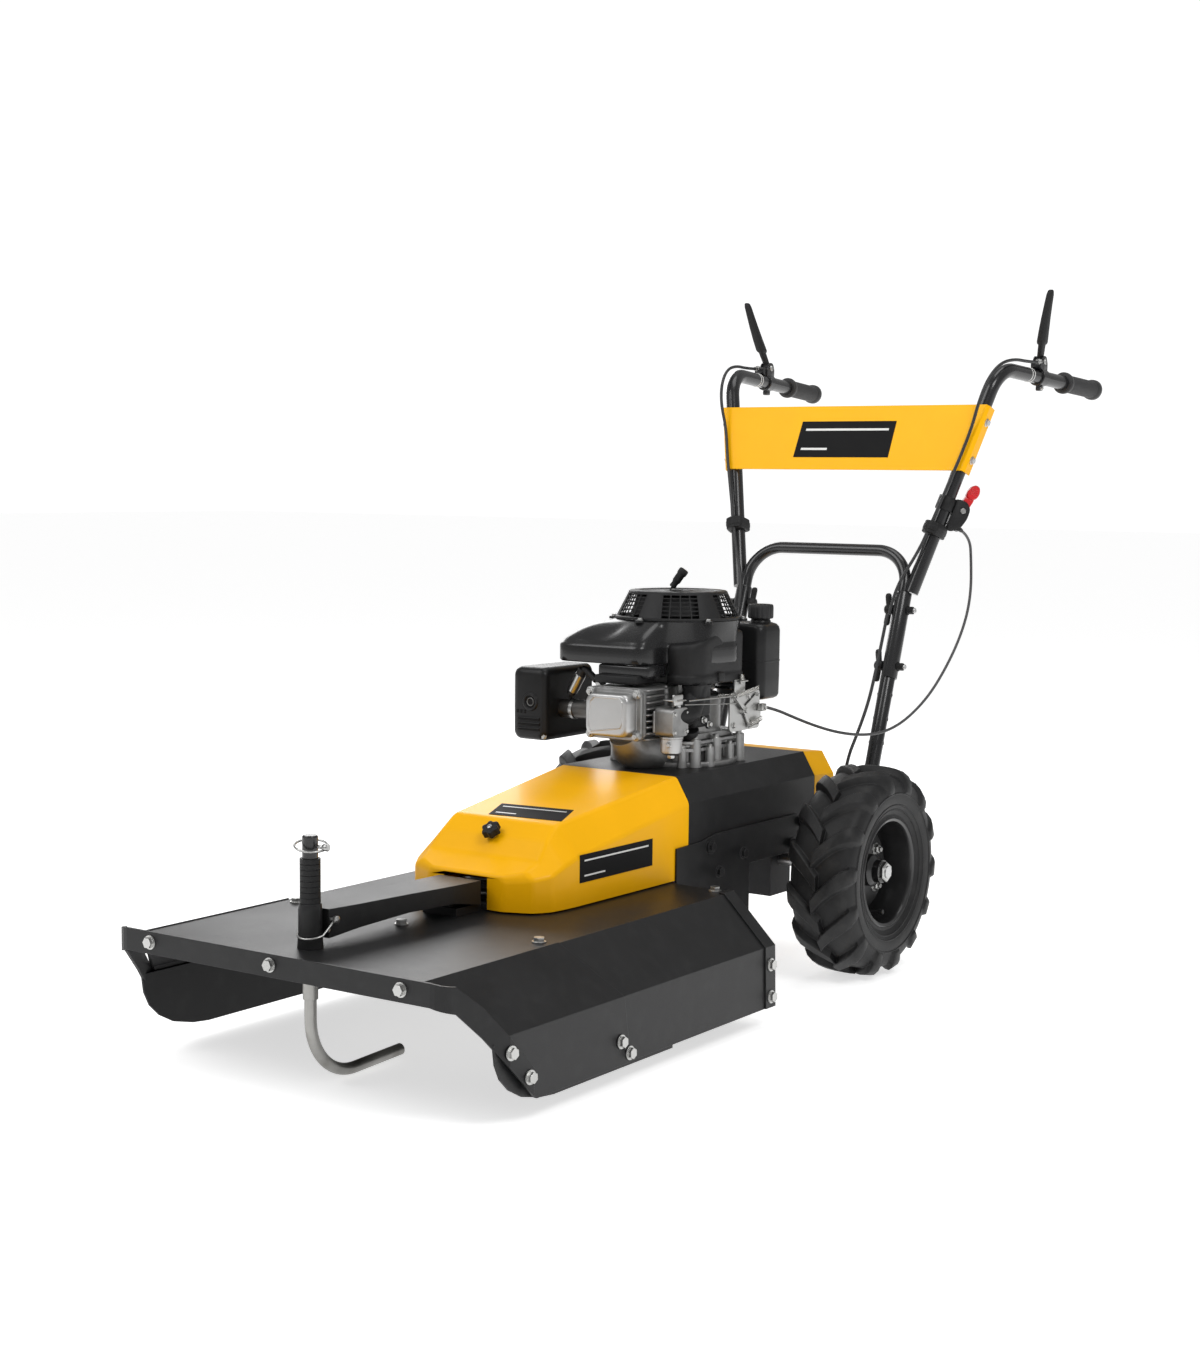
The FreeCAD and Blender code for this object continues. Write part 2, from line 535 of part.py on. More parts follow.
# gearbox on the axle, with bores for the shaft
ra = D["axle_radius"]
gear_box = box(200, 64, 76, -100, -32, 110, "gear_case")
gear_neck = cylinder(34, 52, 0, 0, 186, name="gear_neck")
gear_plate = box("size.chassis_half * 2", 50, 3, -130, -25, 186.2, "gear_plate")
gear_bore = cylinder(ra + 0.06, 300, -150, 0, D["axle_height"], (1, 0, 0), "gear_bore")
node(cut(fuse([gear_box, gear_neck, gear_plate], "gear_union"), gear_bore, "gearbox"), "gearbox")

# ------------------------------------------------------------------ axle and wheels
ah, tr, tx = D["axle_height"], D["tyre_radius"], D["track_half"]
axle = cylinder("size.axle_radius", 596, -298, 0, ah, (1, 0, 0), "axle")
node(axle, "axle_shaft")
rimr = D["rim_radius"]


def wheel_body(points, x, name, flip=False):
    b = turned(points, name)
    b.Placement = Placement(V(x, 0, ah), Rotation(V(0, 1, 0), -90 if flip else 90))
    return b


hw = D["tyre_width"] / 2
tyre_pts = [(rimr, -40), (rimr + 4, -46), (108, -56), (132, -56), (148, -52), (156, -42), (158, 0), (156, 42), (148, 52), (132, 56), (108, 56), (rimr + 4, 46), (rimr, 40)]


def lug(angle, side):
    """One slanted tread bar, from the middle of the tread round the shoulder."""
    def at(r, x, deg):
        a = math.radians(deg)
        return (side * x, r * math.sin(a), r * math.cos(a))
    secs = []
    for x, r0, r1, lag, half in ((-6, 154, 168.34, 0, 4.6), (24, 152, 166.8, 9, 4.8), (46, 146, 161.5, 16, 5.0), (58.5, 120, 147, 20, 5.4)):
        secs.append([at(r0, x, angle + lag - half), at(r1, x, angle + lag - half * 0.8), at(r1, x, angle + lag + half * 0.8), at(r0, x, angle + lag + half)])
    return skin(secs)


def tyre(x0, name):
    body = turned(tyre_pts, name + "_carcass")
    place(body, axis=(0, 1, 0), angle=90)
    doc.recompute()
    solid = body.Shape.copy()
    lugs = []
    for k in range(12):
        lugs.append(lug(30 * k, 1))
        lugs.append(lug(30 * k + 15, -1))
    solid = solid.fuse(lugs)
    solid.Placement = Placement(V(x0, 0, ah), Rotation())
    return solid


both = Part.makeCompound([tyre(-tx, "right_tyre"), tyre(tx, "left_tyre")])
node(feature(both, "tyres"), "tyres")
rim_pts = [(ra, -26), (26, -26), (26, 2), (62, 2), (70, -12), (rimr - 4, -14), (rimr - 4, -45), (rimr + 1, -47), (rimr + 1, -44.0), (rimr - 0.3, -39.6), (rimr - 0.3, 39.6), (rimr + 1, 44.0), (rimr + 1, 47), (rimr - 4, 45), (rimr - 4, -9), (72, -8), (65, 6), (26, 6), (26, 22), (18, 25), (18, 36), (ra, 36)]
wheel_parts = []
for s in (-1, 1):
    b = wheel_body(rim_pts, s * tx, "rim", s < 0)
    wheel_parts.append(b)
    heads = []
    for k in range(4):
        a = math.radians(45 + 90 * k)
        heads.append(bolt((s * (tx + 6), 42 * math.cos(a), ah + 42 * math.sin(a)), (s, 0, 0)))
    heads.append(hexagon(15, 9, (s * (tx + 36), 0, ah), (s, 0, 0)).cut(Part.makeCylinder(ra, 30, V(s * (tx + 30), 0, ah), V(s, 0, 0))))
    wheel_parts.append(feature(Part.makeCompound(heads), "wheel_bolts"))
node(fuse(wheel_parts, "wheel_rims"), "wheel_rims")

# ------------------------------------------------------------------ engine
ey0, bz1 = D["engine_y"], D["engine_base_z"]
rk = D["crank_radius"] + 0.06
base = cylinder(96, 8, 0, ey0, bz1, name="base_flange")
case_low = box(150, 150, 42, -75, ey0 - 74, bz1 + 8, "case_low")
case_mid = cylinder(70, 60, 0, ey0, bz1 + 50, name="case_mid")
case_top = box(100, 120, 52, -64, ey0 - 58, bz1 + 110, "case_top")
bosses = [cylinder(9.5, 44, x, ey0 + y, bz1, name="boss") for x, y in ((72, -58), (80, -10), (80, 60), (-76, -56), (-78, 50), (20, 82))]
case_bore = cylinder(rk, 400, 0, ey0, 300, name="case_bore")
cyl_link = box(88, 30, 83, -44, ey0 - 98, 388, "cylinder_root")
node(cut(fuse([base, case_low, case_mid, case_top, cyl_link] + bosses, "case_union"), case_bore, "crankcase"), "crankcase")
head_core = box(86, 70, 82, -43, ey0 - 168, 390, "head_core")
fins = [box(104, 62, 2.2, -52, ey0 - 164, 392 + 10.6 * k, "fin") for k in range(8)]
head_flange = box(98, 5, 78, -47, ey0 - 173, 391.5, "head_flange")
spark = cylinder(6, 26, -43, ey0 - 132, 455, (-0.75, 0, 0.66), "spark_hex")
node(fuse([head_core, head_flange, spark] + fins, "cylinder_head"), "cylinder_head")
vc = [(-47 + 10, 391.5), (51 - 10, 391.5), (51, 401), (51, 460), (42, 470), (-37, 470), (-47, 460), (-47, 401)]
cover = prism("XZ_Plane", [[(x, z - 430) for x, z in vc]], 6, "cover_base")
place(cover, y=ey0 - 176, z=430)
dome = prism("XZ_Plane", [[(-38, -32), (-32, -36), (34, -36), (42, -30), (42, 22), (30, 33), (-28, 33), (-38, 26)]], 24, "cover_dome")
place(dome, x=0, y=ey0 - 190, z=431)
small = [Part.makeCylinder(4.6, 6, V(x, ey0 - 179, z), V(0, -1, 0)) for x, z in ((-41.5, 397), (45.5, 397), (-41.5, 464.5), (45.5, 464.5))]
node(fuse([cover, dome, feature(Part.makeCompound(small), "cover_bolts")], "valve_cover"), "valve_cover")

crank = turned([(0, 203), (D["crank_radius"], 203), (D["crank_radius"], 566), (0, 566)], "crank")
place(crank, y=ey0)
node(crank, "crankshaft")
fly_disc = turned([(D["crank_radius"], 516), (D["flywheel_radius"], 516), (D["flywheel_radius"], 526), (40, 530), (24, 545), (D["crank_radius"], 545)], "fly_disc")
place(fly_disc, y=ey0)
vanes = []
for k in range(14):
    a = math.radians(360.0 / 14 * k)
    vane = Part.makeBox(30, 3, 26, V(46, -1.5, 526))
    vane.rotate(V(0, 0, 0), V(0, 0, 1), math.degrees(a))
    vane.translate(V(0, ey0, 0))
    vanes.append(vane)
node(fuse([fly_disc, feature(Part.makeCompound(vanes), "fan_vanes")], "flywheel"), "flywheel")

bh0 = [(-134, -138), (-120, -152), (24, -152), (36, -140), (36, -96), (92, -60), (98, 20), (70, 78), (20, 100), (-60, 96), (-104, 60), (-134, -20)]


def ring_section(pts, z, k=1.0, cx=0.0, cy=0.0):
    return [(cx + (x - cx) * k, ey0 + cy + (y - cy) * k, z) for x, y in pts]


def circle_like(pts, r, z):
    out = []
    for x, y in pts:
        a = math.atan2(y, x)
        out.append((r * math.cos(a), ey0 + r * math.sin(a), z))
    return out


blower_out = skin([ring_section(bh0, 503, 0.985), ring_section(bh0, 505, 1.0), ring_section(bh0, 529, 1.0), ring_section(bh0, 536, 0.95), circle_like(bh0, 100.5, 562), circle_like(bh0, 98.5, 568.6)])
cavity = Part.makeCylinder(90, 70, V(0, ey0, 506)).fuse(Part.makeCylinder(rk + 8, 40, V(0, ey0, 480)))
blower = blower_out.cut(cavity)
node(feature(blower.Solids[0], "blower_housing"), "blower_housing")

gb, gt, gz, gh = D["guard_base_radius"], D["guard_top_radius"], D["guard_base_z"], D["guard_height"]
guard = turned([(gb - 6, gz), (gb + 1, gz), (gb + 1, gz + 4), (gb - 1.5, gz + 4), (gt, gz + gh - 3), (gt - 3, gz + gh), (8, gz + gh), (8, gz + gh - 3), (gt - 5, gz + gh - 3), (gb - 6, gz + 4)], "guard")
place(guard, y=ey0)
doc.recompute()
gshape = guard.Shape.copy()
for k in range(6):
    for row_i in range(4):
        zc = gz + 8 + row_i * 8.4
        rmid = gb - 1.5 - (gb - gt) * (zc - gz) / gh
        slot = Part.makeBox(22, 46, 5.6, V(rmid - 14, -23, zc))
        slot.rotate(V(0, 0, 0), V(0, 0, 1), 60 * k + 30)
        slot.translate(V(0, ey0, 0))
        gshape = gshape.cut(slot)
guard_f = feature(gshape.Solids[0], "recoil_guard")
node(guard_f, "recoil_guard")
gp0 = V(-8, ey0 - 6, gz + gh + 4.2)
gdir = V(0.45, 0.35, 0.82).normalize()
grip_shape = Part.makeCylinder(5.2, 12, gp0, gdir).fuse(Part.makeCylinder(6.6, 20, gp0 + gdir * 10, gdir))
node(feature(grip_shape.fuse(Part.makeCylinder(7.8, 9, gp0 + gdir * 24, gdir)), "recoil_grip"), "recoil_grip")

af = [(8, -92), (20, -98), (62, -98), (84, -88), (93, -66), (94, 46), (88, 56), (46, 56), (38, 40), (38, -60), (8, -76)]
afl = [(x + (1.5 if x > 50 else -1.0), y + (-1.5 if y < 0 else 1.5)) for x, y in af]
filt = skin([ring_section(af, 486), ring_section(af, 538), ring_section(af, 548, 0.97, 60, -20), ring_section(af, 553, 0.90, 60, -20)])
lip = skin([ring_section(afl, 472), ring_section(afl, 485.6)])
afs = filt.fuse(lip).fuse(skin([ring_section(af, 485), ring_section(af, 487)]))
afs = afs.cut(Part.makeBox(200, 300, 100, V(-163.7, ey0 - 150, 470)).fuse(skin([ring_section(bh0, 495, 1.012), ring_section(bh0, 537, 1.012)])))
afs = afs.cut(Part.makeCylinder(101.5, 60, V(0, ey0, 536))).cut(Part.makeBox(101, 121, 54, V(-64.5, ey0 - 58.5, 450))).cut(blower_out)
best = max(afs.Solids, key=lambda q: q.Volume)
node(feature(best, "air_filter_cover"), "air_filter_cover")

carb_body = box(34, 44, 46, 56, ey0 - 150, 396, "carb_body")
carb_bowl = cylinder(17, 28, 73, ey0 - 128, 368, name="carb_bowl")
carb_nut = cylinder(6, 6, 73, ey0 - 128, 362.2, name="carb_nut")
carb_flange = box(6, 46, 30, 52.2, ey0 - 150, 404, "carb_flange")
duct_leg = box(24, 40, 66, 66, ey0 - 84, 405.6, "duct_leg")
duct_elbow = box(30, 26, 28, 60, ey0 - 108, 410, "duct_elbow")
carb_stud = cylinder(4.4, 9, 90, ey0 - 66, 416, (1, 0, 0), "duct_stud")
carb_stud2 = cylinder(4.4, 9, 90, ey0 - 50, 408, (1, 0, 0), "duct_stud")
node(fuse([carb_body, carb_bowl, carb_nut, carb_flange, duct_leg, duct_elbow, carb_stud, carb_stud2], "carburettor"), "carburettor")

muf = [(-70, -52), (-64, -58), (58, -58), (66, -50), (66, 46), (58, 54), (-60, 60), (-70, 52)]
m_outer = prism("YZ_Plane", [[(y, z) for y, z in muf]], 66, "muffler_shield_block")
place(m_outer, x=-167, y=ey0 - 102, z=433)
m_hole = cylinder(9, 12, -150, ey0 - 174, 437, (0, 1, 0), "outlet_hole")
m_slots = [box(44, 8, 3.0, -190, ey0 - 176, 391 + 9 * k, "louvre") for k in range(2)]
m_side = box(70, 130, 111, -197.4, ey0 - 169, 378.5, "shield_open_side")
node(cut(m_outer, fuse([m_hole, m_side] + m_slots, "shield_cuts"), "muffler_shield"), "muffler_shield")
m_pipe = cylinder(15, 64, -141, ey0 - 122, 425, (1, 0, 0), "exhaust_pipe")
m_flange = box(6, 50, 54, -58.2, ey0 - 148, 398, "exhaust_flange")
m_body = box(48, 104, 84, -190, ey0 - 156, 388, "muffler_inner")
pipe = fuse([m_pipe, m_flange, m_body], "exhaust")
node(pipe, "muffler")

boot_shape = bar((-116, ey0 - 128, 450), (-90, ey0 - 130, 492), 8.6).fuse(bar((-90, ey0 - 130, 490), (-64.5, ey0 - 131.5, 474.0), 6.2))
node(feature(boot_shape.removeSplitter(), "plug_boot"), "plug_boot")

tk = [(6, 104), (12, 100), (90, 100), (96, 106), (97, 160), (90, 168), (14, 168), (6, 160)]
tank_shape = skin([ring_section(tk, 434, 0.94, 51, 134), ring_section(tk, 440, 1.0), ring_section(tk, 546, 1.0), ring_section(tk, 556, 0.93, 51, 134), ring_section(tk, 558.5, 0.84, 51, 134)])
neck = Part.makeCylinder(15.5, 8, V(70, ey0 + 140, 556))
tank_shape = tank_shape.fuse(neck).cut(Part.makeCylinder(6.1, 40, V(70, ey0 + 140, 530)))
bracket = Part.makeBox(50, 34, 6, V(10, ey0 + 68, 452))
node(feature(tank_shape.fuse(bracket).Solids[0], "fuel_tank"), "fuel_tank")
cap_pts = [(0, 564.4), (20, 564.4), (21, 566), (21, 584), (19, 587.5), (0, 587.5)]
cap = turned(cap_pts, "cap_body")
place(cap, 70, ey0 + 140, 0)
cap_stem = cylinder(6.0, 24, 70, ey0 + 140, 541, name="cap_stem")
grooves = []
for k in range(16):
    a = math.radians(22.5 * k)
    grooves.append(Part.makeCylinder(1.9, 40, V(70 + 21.4 * math.cos(a), ey0 + 140 + 21.4 * math.sin(a), 566.5)))
node(cut(fuse([cap, cap_stem], "cap_union"), feature(Part.makeCompound(grooves), "cap_grooves"), "fuel_cap"), "fuel_cap")

link_plate = box(3, 92, 62, 94, ey0 + 4, 392, "link_plate")
link_base = box(24, 24, 4, 72, ey0 + 20, 391.2, "link_foot")
link_arm = box(4, 60, 10, 97, ey0 + 30, 436, "link_arm")
link_pivot = cylinder(7, 12, 94, ey0 + 44, 424, (1, 0, 0), "link_pivot")
link_bar = cylinder(2.0, 70, 100, ey0 + 16, 452, (0, 1, 0.15), "link_rod")
spring_rod = cylinder(3.2, 46, 102, ey0 + 30, 404, (0, 1, 0.1), "link_spring")
clamp = box(10, 14, 12, 97, ey0 + 88, 419, "cable_clamp")
node(fuse([link_plate, link_base, link_arm, link_pivot, link_bar, spring_rod, clamp], "throttle_linkage"), "throttle_linkage")

# ------------------------------------------------------------------ lower handle: legs and hoop in one plane
lg = D["leg_x"]


def on_leg(z, dx=0.0, dy=0.0):
    """Point on the leg's centre line at a height, with offsets."""
    return (lg + dx, 308.0 + (z - 603.0) * 0.345 + dy, z)


leg_dir = V(0, 0.345, 1).normalize()
hoop_top_z = 667.0
hoop, _ = tube([(-lg, on_leg(590)[1], 590), (-lg, on_leg(hoop_top_z)[1], hoop_top_z), (lg, on_leg(hoop_top_z)[1], hoop_top_z), (lg, on_leg(590)[1], 590)], [62, 62], D["hoop_radius"])
legs = []
for s in (-1, 1):
    a, b = on_leg(246), on_leg(596)
    legs.append(bar((s * a[0], a[1], a[2]), (s * b[0], b[1], b[2]), D["leg_radius"]).cut(bar((s * a[0], a[1], a[2]), (s * b[0], b[1], b[2]), D["hoop_radius"] - 0.4)))
    # foot: bent plate that carries the leg on the chassis side
    legs.append(Part.makeBox(4, 64, 74, V(s * 141.2 - 2, 140, 232)))
    legs.append(Part.makeBox(9.0, 40, 60, V((143 if s > 0 else -152), 164, 240)))
    legs.append(Part.makeBox(12.6, 60, 16, V((130.2 if s > 0 else -142.8), 75, 236)))
    legs.append(Part.makeBox(8, 80, 16, V((135 if s > 0 else -143), 75, 236)))
lower = hoop
for q in legs:
    lower = lower.fuse(q)
holes = [Part.makeCylinder(3.4, 80, V(*on_leg(z, -40 if s > 0 else -40)) if s > 0 else V(-on_leg(z)[0] - 40, on_leg(z)[1], z), V(1, 0, 0)) for z in (424, 384, 344) for s in (-1, 1)]
for h_ in holes:
    lower = lower.cut(h_)
node(feature(lower, "lower_handle"), "lower_handle")

# ------------------------------------------------------------------ upper handle
A = on_leg(596, 12.8, 4.0)
B = (269.0, 428.0, 984.0)
C = (295.0, 789.0, 959.0)
up, up_len = tube([A, B, C], [D["top_bend"]], D["tube_radius"])
leg_hole = Part.makeCylinder(D["leg_radius"] + D["saddle_clearance"], 420, V(*on_leg(400)), leg_dir)
saddle_a = on_leg(452)
saddle_len = 152.0
sad = Part.makeCylinder(D["saddle_radius"], saddle_len, V(*saddle_a), leg_dir)
keep = Part.makeBox(60, 80, 200, V(0, -40, -20))
keep.Placement = Placement(V(lg - 1.5, saddle_a[1], saddle_a[2]), Rotation(V(0, 0, 1), leg_dir))
sad = sad.common(keep)
bore_, _ = tube([A, B, C], [D["top_bend"]], D["tube_radius"] - D["tube_wall"])
left = up.cut(bore_).fuse(sad).cut(leg_hole)
left = max(left.Solids, key=lambda q: q.Volume)
mirror = left.mirror(V(0, 0, 0), V(1, 0, 0))
node(feature(Part.makeCompound([left, mirror]), "handle_tubes"), "handle_tubes")


def on_tube(z, dx=0.0, dy=0.0):
    k = (z - A[2]) / (B[2] - A[2])
    return V(A[0] + (B[0] - A[0]) * k + dx, A[1] + (B[1] - A[1]) * k + dy, z)


tube_dir = (V(*B) - V(*A)).normalize()
# yellow panel: flat across the front, wrapped round the outside of both tubes
side_out = tube_dir.cross(V(0, -1, 0)).normalize()
if side_out.x < 0:
    side_out = side_out * -1
front_out = side_out.cross(tube_dir).normalize()
if front_out.y > 0:
    front_out = front_out * -1


def panel_pt(z, a, b, s):
    p = on_tube(z) + side_out * a + front_out * b
    return (s * p.x, p.y, p.z)


pr = D["tube_radius"]
pt = D["panel_thick"] + 1.2
loop = [(pr + 0.2 + pt, -pr), (pr + 0.2 + pt, pr - 2), (pr - 2, pr + 1.2 + pt), (pr - 2, pr + 1.2), (pr + 0.2, pr - 2.5), (pr + 0.2, -pr)]
secs = []
for z in (805.5, 918.5):
    L = [panel_pt(z, a, b, 1) for a, b in loop]
    R = [panel_pt(z, a, b, -1) for a, b in loop]
    secs.append([L[0], L[1], L[2], R[2], R[1], R[0], R[5], R[4], R[3], L[3], L[4], L[5]])


def band_solid(pairs0, pairs1):
    """Thin bent band: outer and inner lines of points at the bottom and top."""
    solids = []
    n = len(pairs0)
    for i in range(n - 1):
        q = [pairs0[i][0], pairs0[i + 1][0], pairs0[i + 1][1], pairs0[i][1]]
        r = [pairs1[i][0], pairs1[i + 1][0], pairs1[i + 1][1], pairs1[i][1]]
        solids.append(skin([q, r]))
    out = solids[0]
    for s_ in solids[1:]:
        out = out.fuse(s_)
    return out


order_out = [0, 1, 2]
order_in = [5, 4, 3]
lines = []
for z in (805.5, 918.5):
    row_pairs = [(panel_pt(z, *loop[o], 1), panel_pt(z, *loop[i], 1)) for o, i in zip(order_out, order_in)]
    row_pairs += [(panel_pt(z, *loop[o], -1), panel_pt(z, *loop[i], -1)) for o, i in zip(reversed(order_out), reversed(order_in))]
    lines.append(row_pairs)
panel_shape = band_solid(lines[0], lines[1])
node(feature(panel_shape, "handle_panel"), "handle_panel")

hb = []
for s in (-1, 1):
    for z in (828, 893):
        p = on_tube(z) + side_out * (pr + 0.2 + pt)
        d = (s * side_out.x, side_out.y, side_out.z)
        hb.append(bolt((s * p.x, p.y, p.z), d))
    for z in (567, 472):
        q = on_leg(z)
        x0 = q[0] + D["saddle_radius"] - 0.2
        hb.append(Part.makeCylinder(6.6, 11, V(s * x0, q[1], z), V(s, 0, 0)).fuse(Part.makeCylinder(5.2, 3.5, V(s * (x0 + 11), q[1], z), V(s, 0, 0))))
    # strap clip round the tube, holding the cables
    c = on_tube(698)
    ringc = Part.makeCylinder(pr + 3.2, 17, V(s * c.x, c.y, c.z), V(s * tube_dir.x, tube_dir.y, tube_dir.z)).cut(Part.makeCylinder(pr, 60, V(s * c.x, c.y, c.z) - V(s * tube_dir.x, tube_dir.y, tube_dir.z) * 20, V(s * tube_dir.x, tube_dir.y, tube_dir.z)))
    hb.append(ringc)
node(feature(Part.makeCompound(hb), "handle_fittings"), "handle_fittings")

# wing knobs on the inside of the legs, each turning on its bolt
kname = {(1, 567): "wing_knob_left_upper", (1, 472): "wing_knob_left_lower", (-1, 567): "wing_knob_right_upper", (-1, 472): "wing_knob_right_lower"}
for (s, z), label in kname.items():
    q = on_leg(z)
    hub_x = q[0] - D["leg_radius"] - 0.6
    hub = Part.makeCylinder(8.5, 15, V(s * hub_x, q[1], z), V(-s, 0, 0))
    wing = skin([[(s * (hub_x - 5), q[1] + a, z + b) for a, b in ((-7, -24), (5, -25), (7, 24), (-5, 25))],
                 [(s * (hub_x - 15), q[1] + a, z + b) for a, b in ((-6, -27), (4, -28), (6, 27), (-4, 28))]])
    node(feature(hub.fuse(wing).removeSplitter(), label), label)

gdir3 = (V(*C) - V(*B)).normalize()


def on_grip(d):
    return V(*C) - gdir3 * d


gl, gr_ = D["grip_length"], D["grip_radius"]
g_end = on_grip(-3.0)
grip_l = Part.makeCylinder(gr_, gl - 8, on_grip(gl - 3), gdir3).fuse(Part.makeCylinder(19.5, 11, on_grip(gl + 2), gdir3)).fuse(Part.makeCylinder(18.6, 10, on_grip(7.0), gdir3))
grip_l = grip_l.cut(Part.makeCylinder(pr, 300, on_grip(300), gdir3))
grip_l = grip_l.removeSplitter()
grip_r = grip_l.mirror(V(0, 0, 0), V(1, 0, 0))
node(feature(Part.makeCompound([grip_l, grip_r]), "grips"), "grips")

# lever brackets: clamp ring on each tube with two cheeks and a pin across
bk = on_grip(214.0)
lever_pivot = V(bk.x + 0.0, bk.y, bk.z + 27.0)
ring_b = Part.makeCylinder(pr + 3.0, 22, on_grip(225), gdir3).cut(Part.makeCylinder(pr, 80, on_grip(260), gdir3))
cheek1 = Part.makeBox(3, 26, 28, V(lever_pivot.x - 9.3, lever_pivot.y - 13, bk.z + 9))
cheek2 = Part.makeBox(3, 26, 28, V(lever_pivot.x + 6.3, lever_pivot.y - 13, bk.z + 9))
lpin = Part.makeCylinder(D["lever_pin_radius"], 22, V(lever_pivot.x - 11, lever_pivot.y, lever_pivot.z), V(1, 0, 0))
barrel = Part.makeCylinder(4.6, 20, V(lever_pivot.x + 7.8, lever_pivot.y - 12, lever_pivot.z - 1.0), V(0, -1, -0.05))
brk = ring_b.fuse([cheek1.cut(Part.makeCylinder(pr, 300, on_grip(300), gdir3)), cheek2.cut(Part.makeCylinder(pr, 300, on_grip(300), gdir3)), lpin, barrel])
brk_m = brk.mirror(V(0, 0, 0), V(1, 0, 0))
node(feature(Part.makeCompound([brk, brk_m]), "lever_brackets"), "lever_brackets")

tip = V(309.0, 546.0, 1124.0)
lp = lever_pivot
for label, s in (("clutch_lever_left", 1), ("clutch_lever_right", -1)):
    hub_r = 9.0
    hubx = Part.makeCylinder(hub_r, 11, V(lp.x - 5.5, lp.y, lp.z), V(1, 0, 0))
    blade = skin([
        [(lp.x - 4.5, lp.y - 6.5, lp.z + 4), (lp.x + 4.5, lp.y - 6.5, lp.z + 4), (lp.x + 4.5, lp.y + 6.5, lp.z + 4), (lp.x - 4.5, lp.y + 6.5, lp.z + 4)],
        [(lp.x - 4.5, lp.y - 10.5, lp.z + 23), (lp.x + 4.7, lp.y - 10.5, lp.z + 23), (lp.x + 4.7, lp.y + 6.5, lp.z + 23), (lp.x - 4.5, lp.y + 6.5, lp.z + 23)],
        [(lp.x - 3.5, lp.y - 12.5, lp.z + 30), (lp.x + 8.5, lp.y - 12.5, lp.z + 30), (lp.x + 8.5, lp.y + 6.5, lp.z + 30), (lp.x - 3.5, lp.y + 6.5, lp.z + 30)],
        [(tip.x - 6, tip.y - 4.5, tip.z - 16), (tip.x + 5, tip.y - 4.5, tip.z - 16), (tip.x + 5, tip.y + 8, tip.z - 16), (tip.x - 6, tip.y + 8, tip.z - 16)],
        [(tip.x - 3.5, tip.y - 3, tip.z), (tip.x + 3.5, tip.y - 3, tip.z), (tip.x + 3.5, tip.y + 5, tip.z), (tip.x - 3.5, tip.y + 5, tip.z)],
    ])
    lev = hubx.fuse(blade).cut(Part.makeCylinder(D["lever_pin_radius"] + D["lever_clearance"], 60, V(lp.x - 30, lp.y, lp.z), V(1, 0, 0)))
    lev = max(lev.Solids, key=lambda q: q.Volume)
    if s < 0:
        lev = lev.mirror(V(0, 0, 0), V(1, 0, 0))
    node(feature(lev, label), label)

# throttle control on the left tube: housing, pivot pin and lever
th = on_tube(744)
tdir = tube_dir
tout = (side_out * 0.80 - front_out * 0.60).normalize()   # outward and to the rear
hous = Part.makeCylinder(pr + 3.4, 24, th - tdir * 6, tdir).cut(Part.makeCylinder(pr, 90, th - tdir * 40, tdir))
u = tout
v = tdir.cross(u).normalize()


def block(c0, lu, lv, lw, centre):
    """Rectangular block with edges along u, v and the tube."""
    o = centre - u * (lu / 2) - v * (lv / 2) - tdir * (lw / 2)
    pts = [o, o + u * lu, o + u * lu + v * lv, o + v * lv]
    return skin([[tuple(p) for p in pts], [tuple(p + tdir * lw) for p in pts]])


cheek_a = block(None, 26, 4, 46, th + u * (pr + 14.5) + v * 9.5 - tdir * 2)
cheek_b = block(None, 26, 4, 46, th + u * (pr + 14.5) - v * 9.5 - tdir * 2)
back = block(None, 4.5, 23, 46, th + u * (pr + 3.8) - tdir * 2)
low = block(None, 26, 23, 6, th + u * (pr + 14.5) - tdir * 28.0)
tp = th + u * (pr + 17.5) + tdir * 4
tpin = Part.makeCylinder(D["throttle_pin_radius"], 27, tp - v * 13.5, v)
# cable gland at the housing's back, its end face in line with the legs
gn = V(0, leg_dir.z, -leg_dir.y)
gland_at = th + u * (pr + 13) - tdir * 22
gland = Part.makeCylinder(4.6, 34, gland_at, gn)
thh = hous.fuse([cheek_a, cheek_b, back, low, tpin, gland])
thh = thh.cut(Part.makeCylinder(pr, 90, th - tdir * 45, tdir))
node(feature(max(thh.Solids, key=lambda q: q.Volume), "throttle_housing"), "throttle_housing")
tl_hub = Part.makeCylinder(8.2, 13.6, tp - v * 6.8, v)
tl = tl_hub.fuse(skin([
    [tuple(tp + u * a + v * b + tdir * 2) for a, b in ((-5, -6), (6, -6), (6, 6), (-5, 6))],
    [tuple(tp + u * a + v * b + tdir * 26) for a, b in ((6, -6), (17, -6), (17, 6), (6, 6))],
    [tuple(tp + u * a + v * b + tdir * 40) for a, b in ((10, -8), (19, -8), (19, 8), (10, 8))],
    [tuple(tp + u * a + v * b + tdir * 46) for a, b in ((8, -6), (13, -6), (13, 6), (8, 6))],
])).cut(Part.makeCylinder(D["throttle_pin_radius"] + 0.06, 60, tp - v * 30, v))
node(feature(max(tl.Solids, key=lambda q: q.Volume), "throttle_lever"), "throttle_lever")
print("throttle pivot", [round(c, 3) for c in (tp + V(0, D["shift_y"], 0))], "axis", [round(c, 4) for c in v], "u", [round(c, 4) for c in u], "tdir", [round(c, 4) for c in tdir])
print("lever pivot", [round(c, 3) for c in (lp + V(0, D["shift_y"], 0))], "leg dir", [round(c, 4) for c in leg_dir])
print("grip dir", [round(c, 4) for c in gdir3], "knob dir", [round(c, 4) for c in kn], "grip pull", [round(c, 4) for c in gdir], "grip at", [round(c, 2) for c in gp0])

# ------------------------------------------------------------------ cables
CORDS = {}


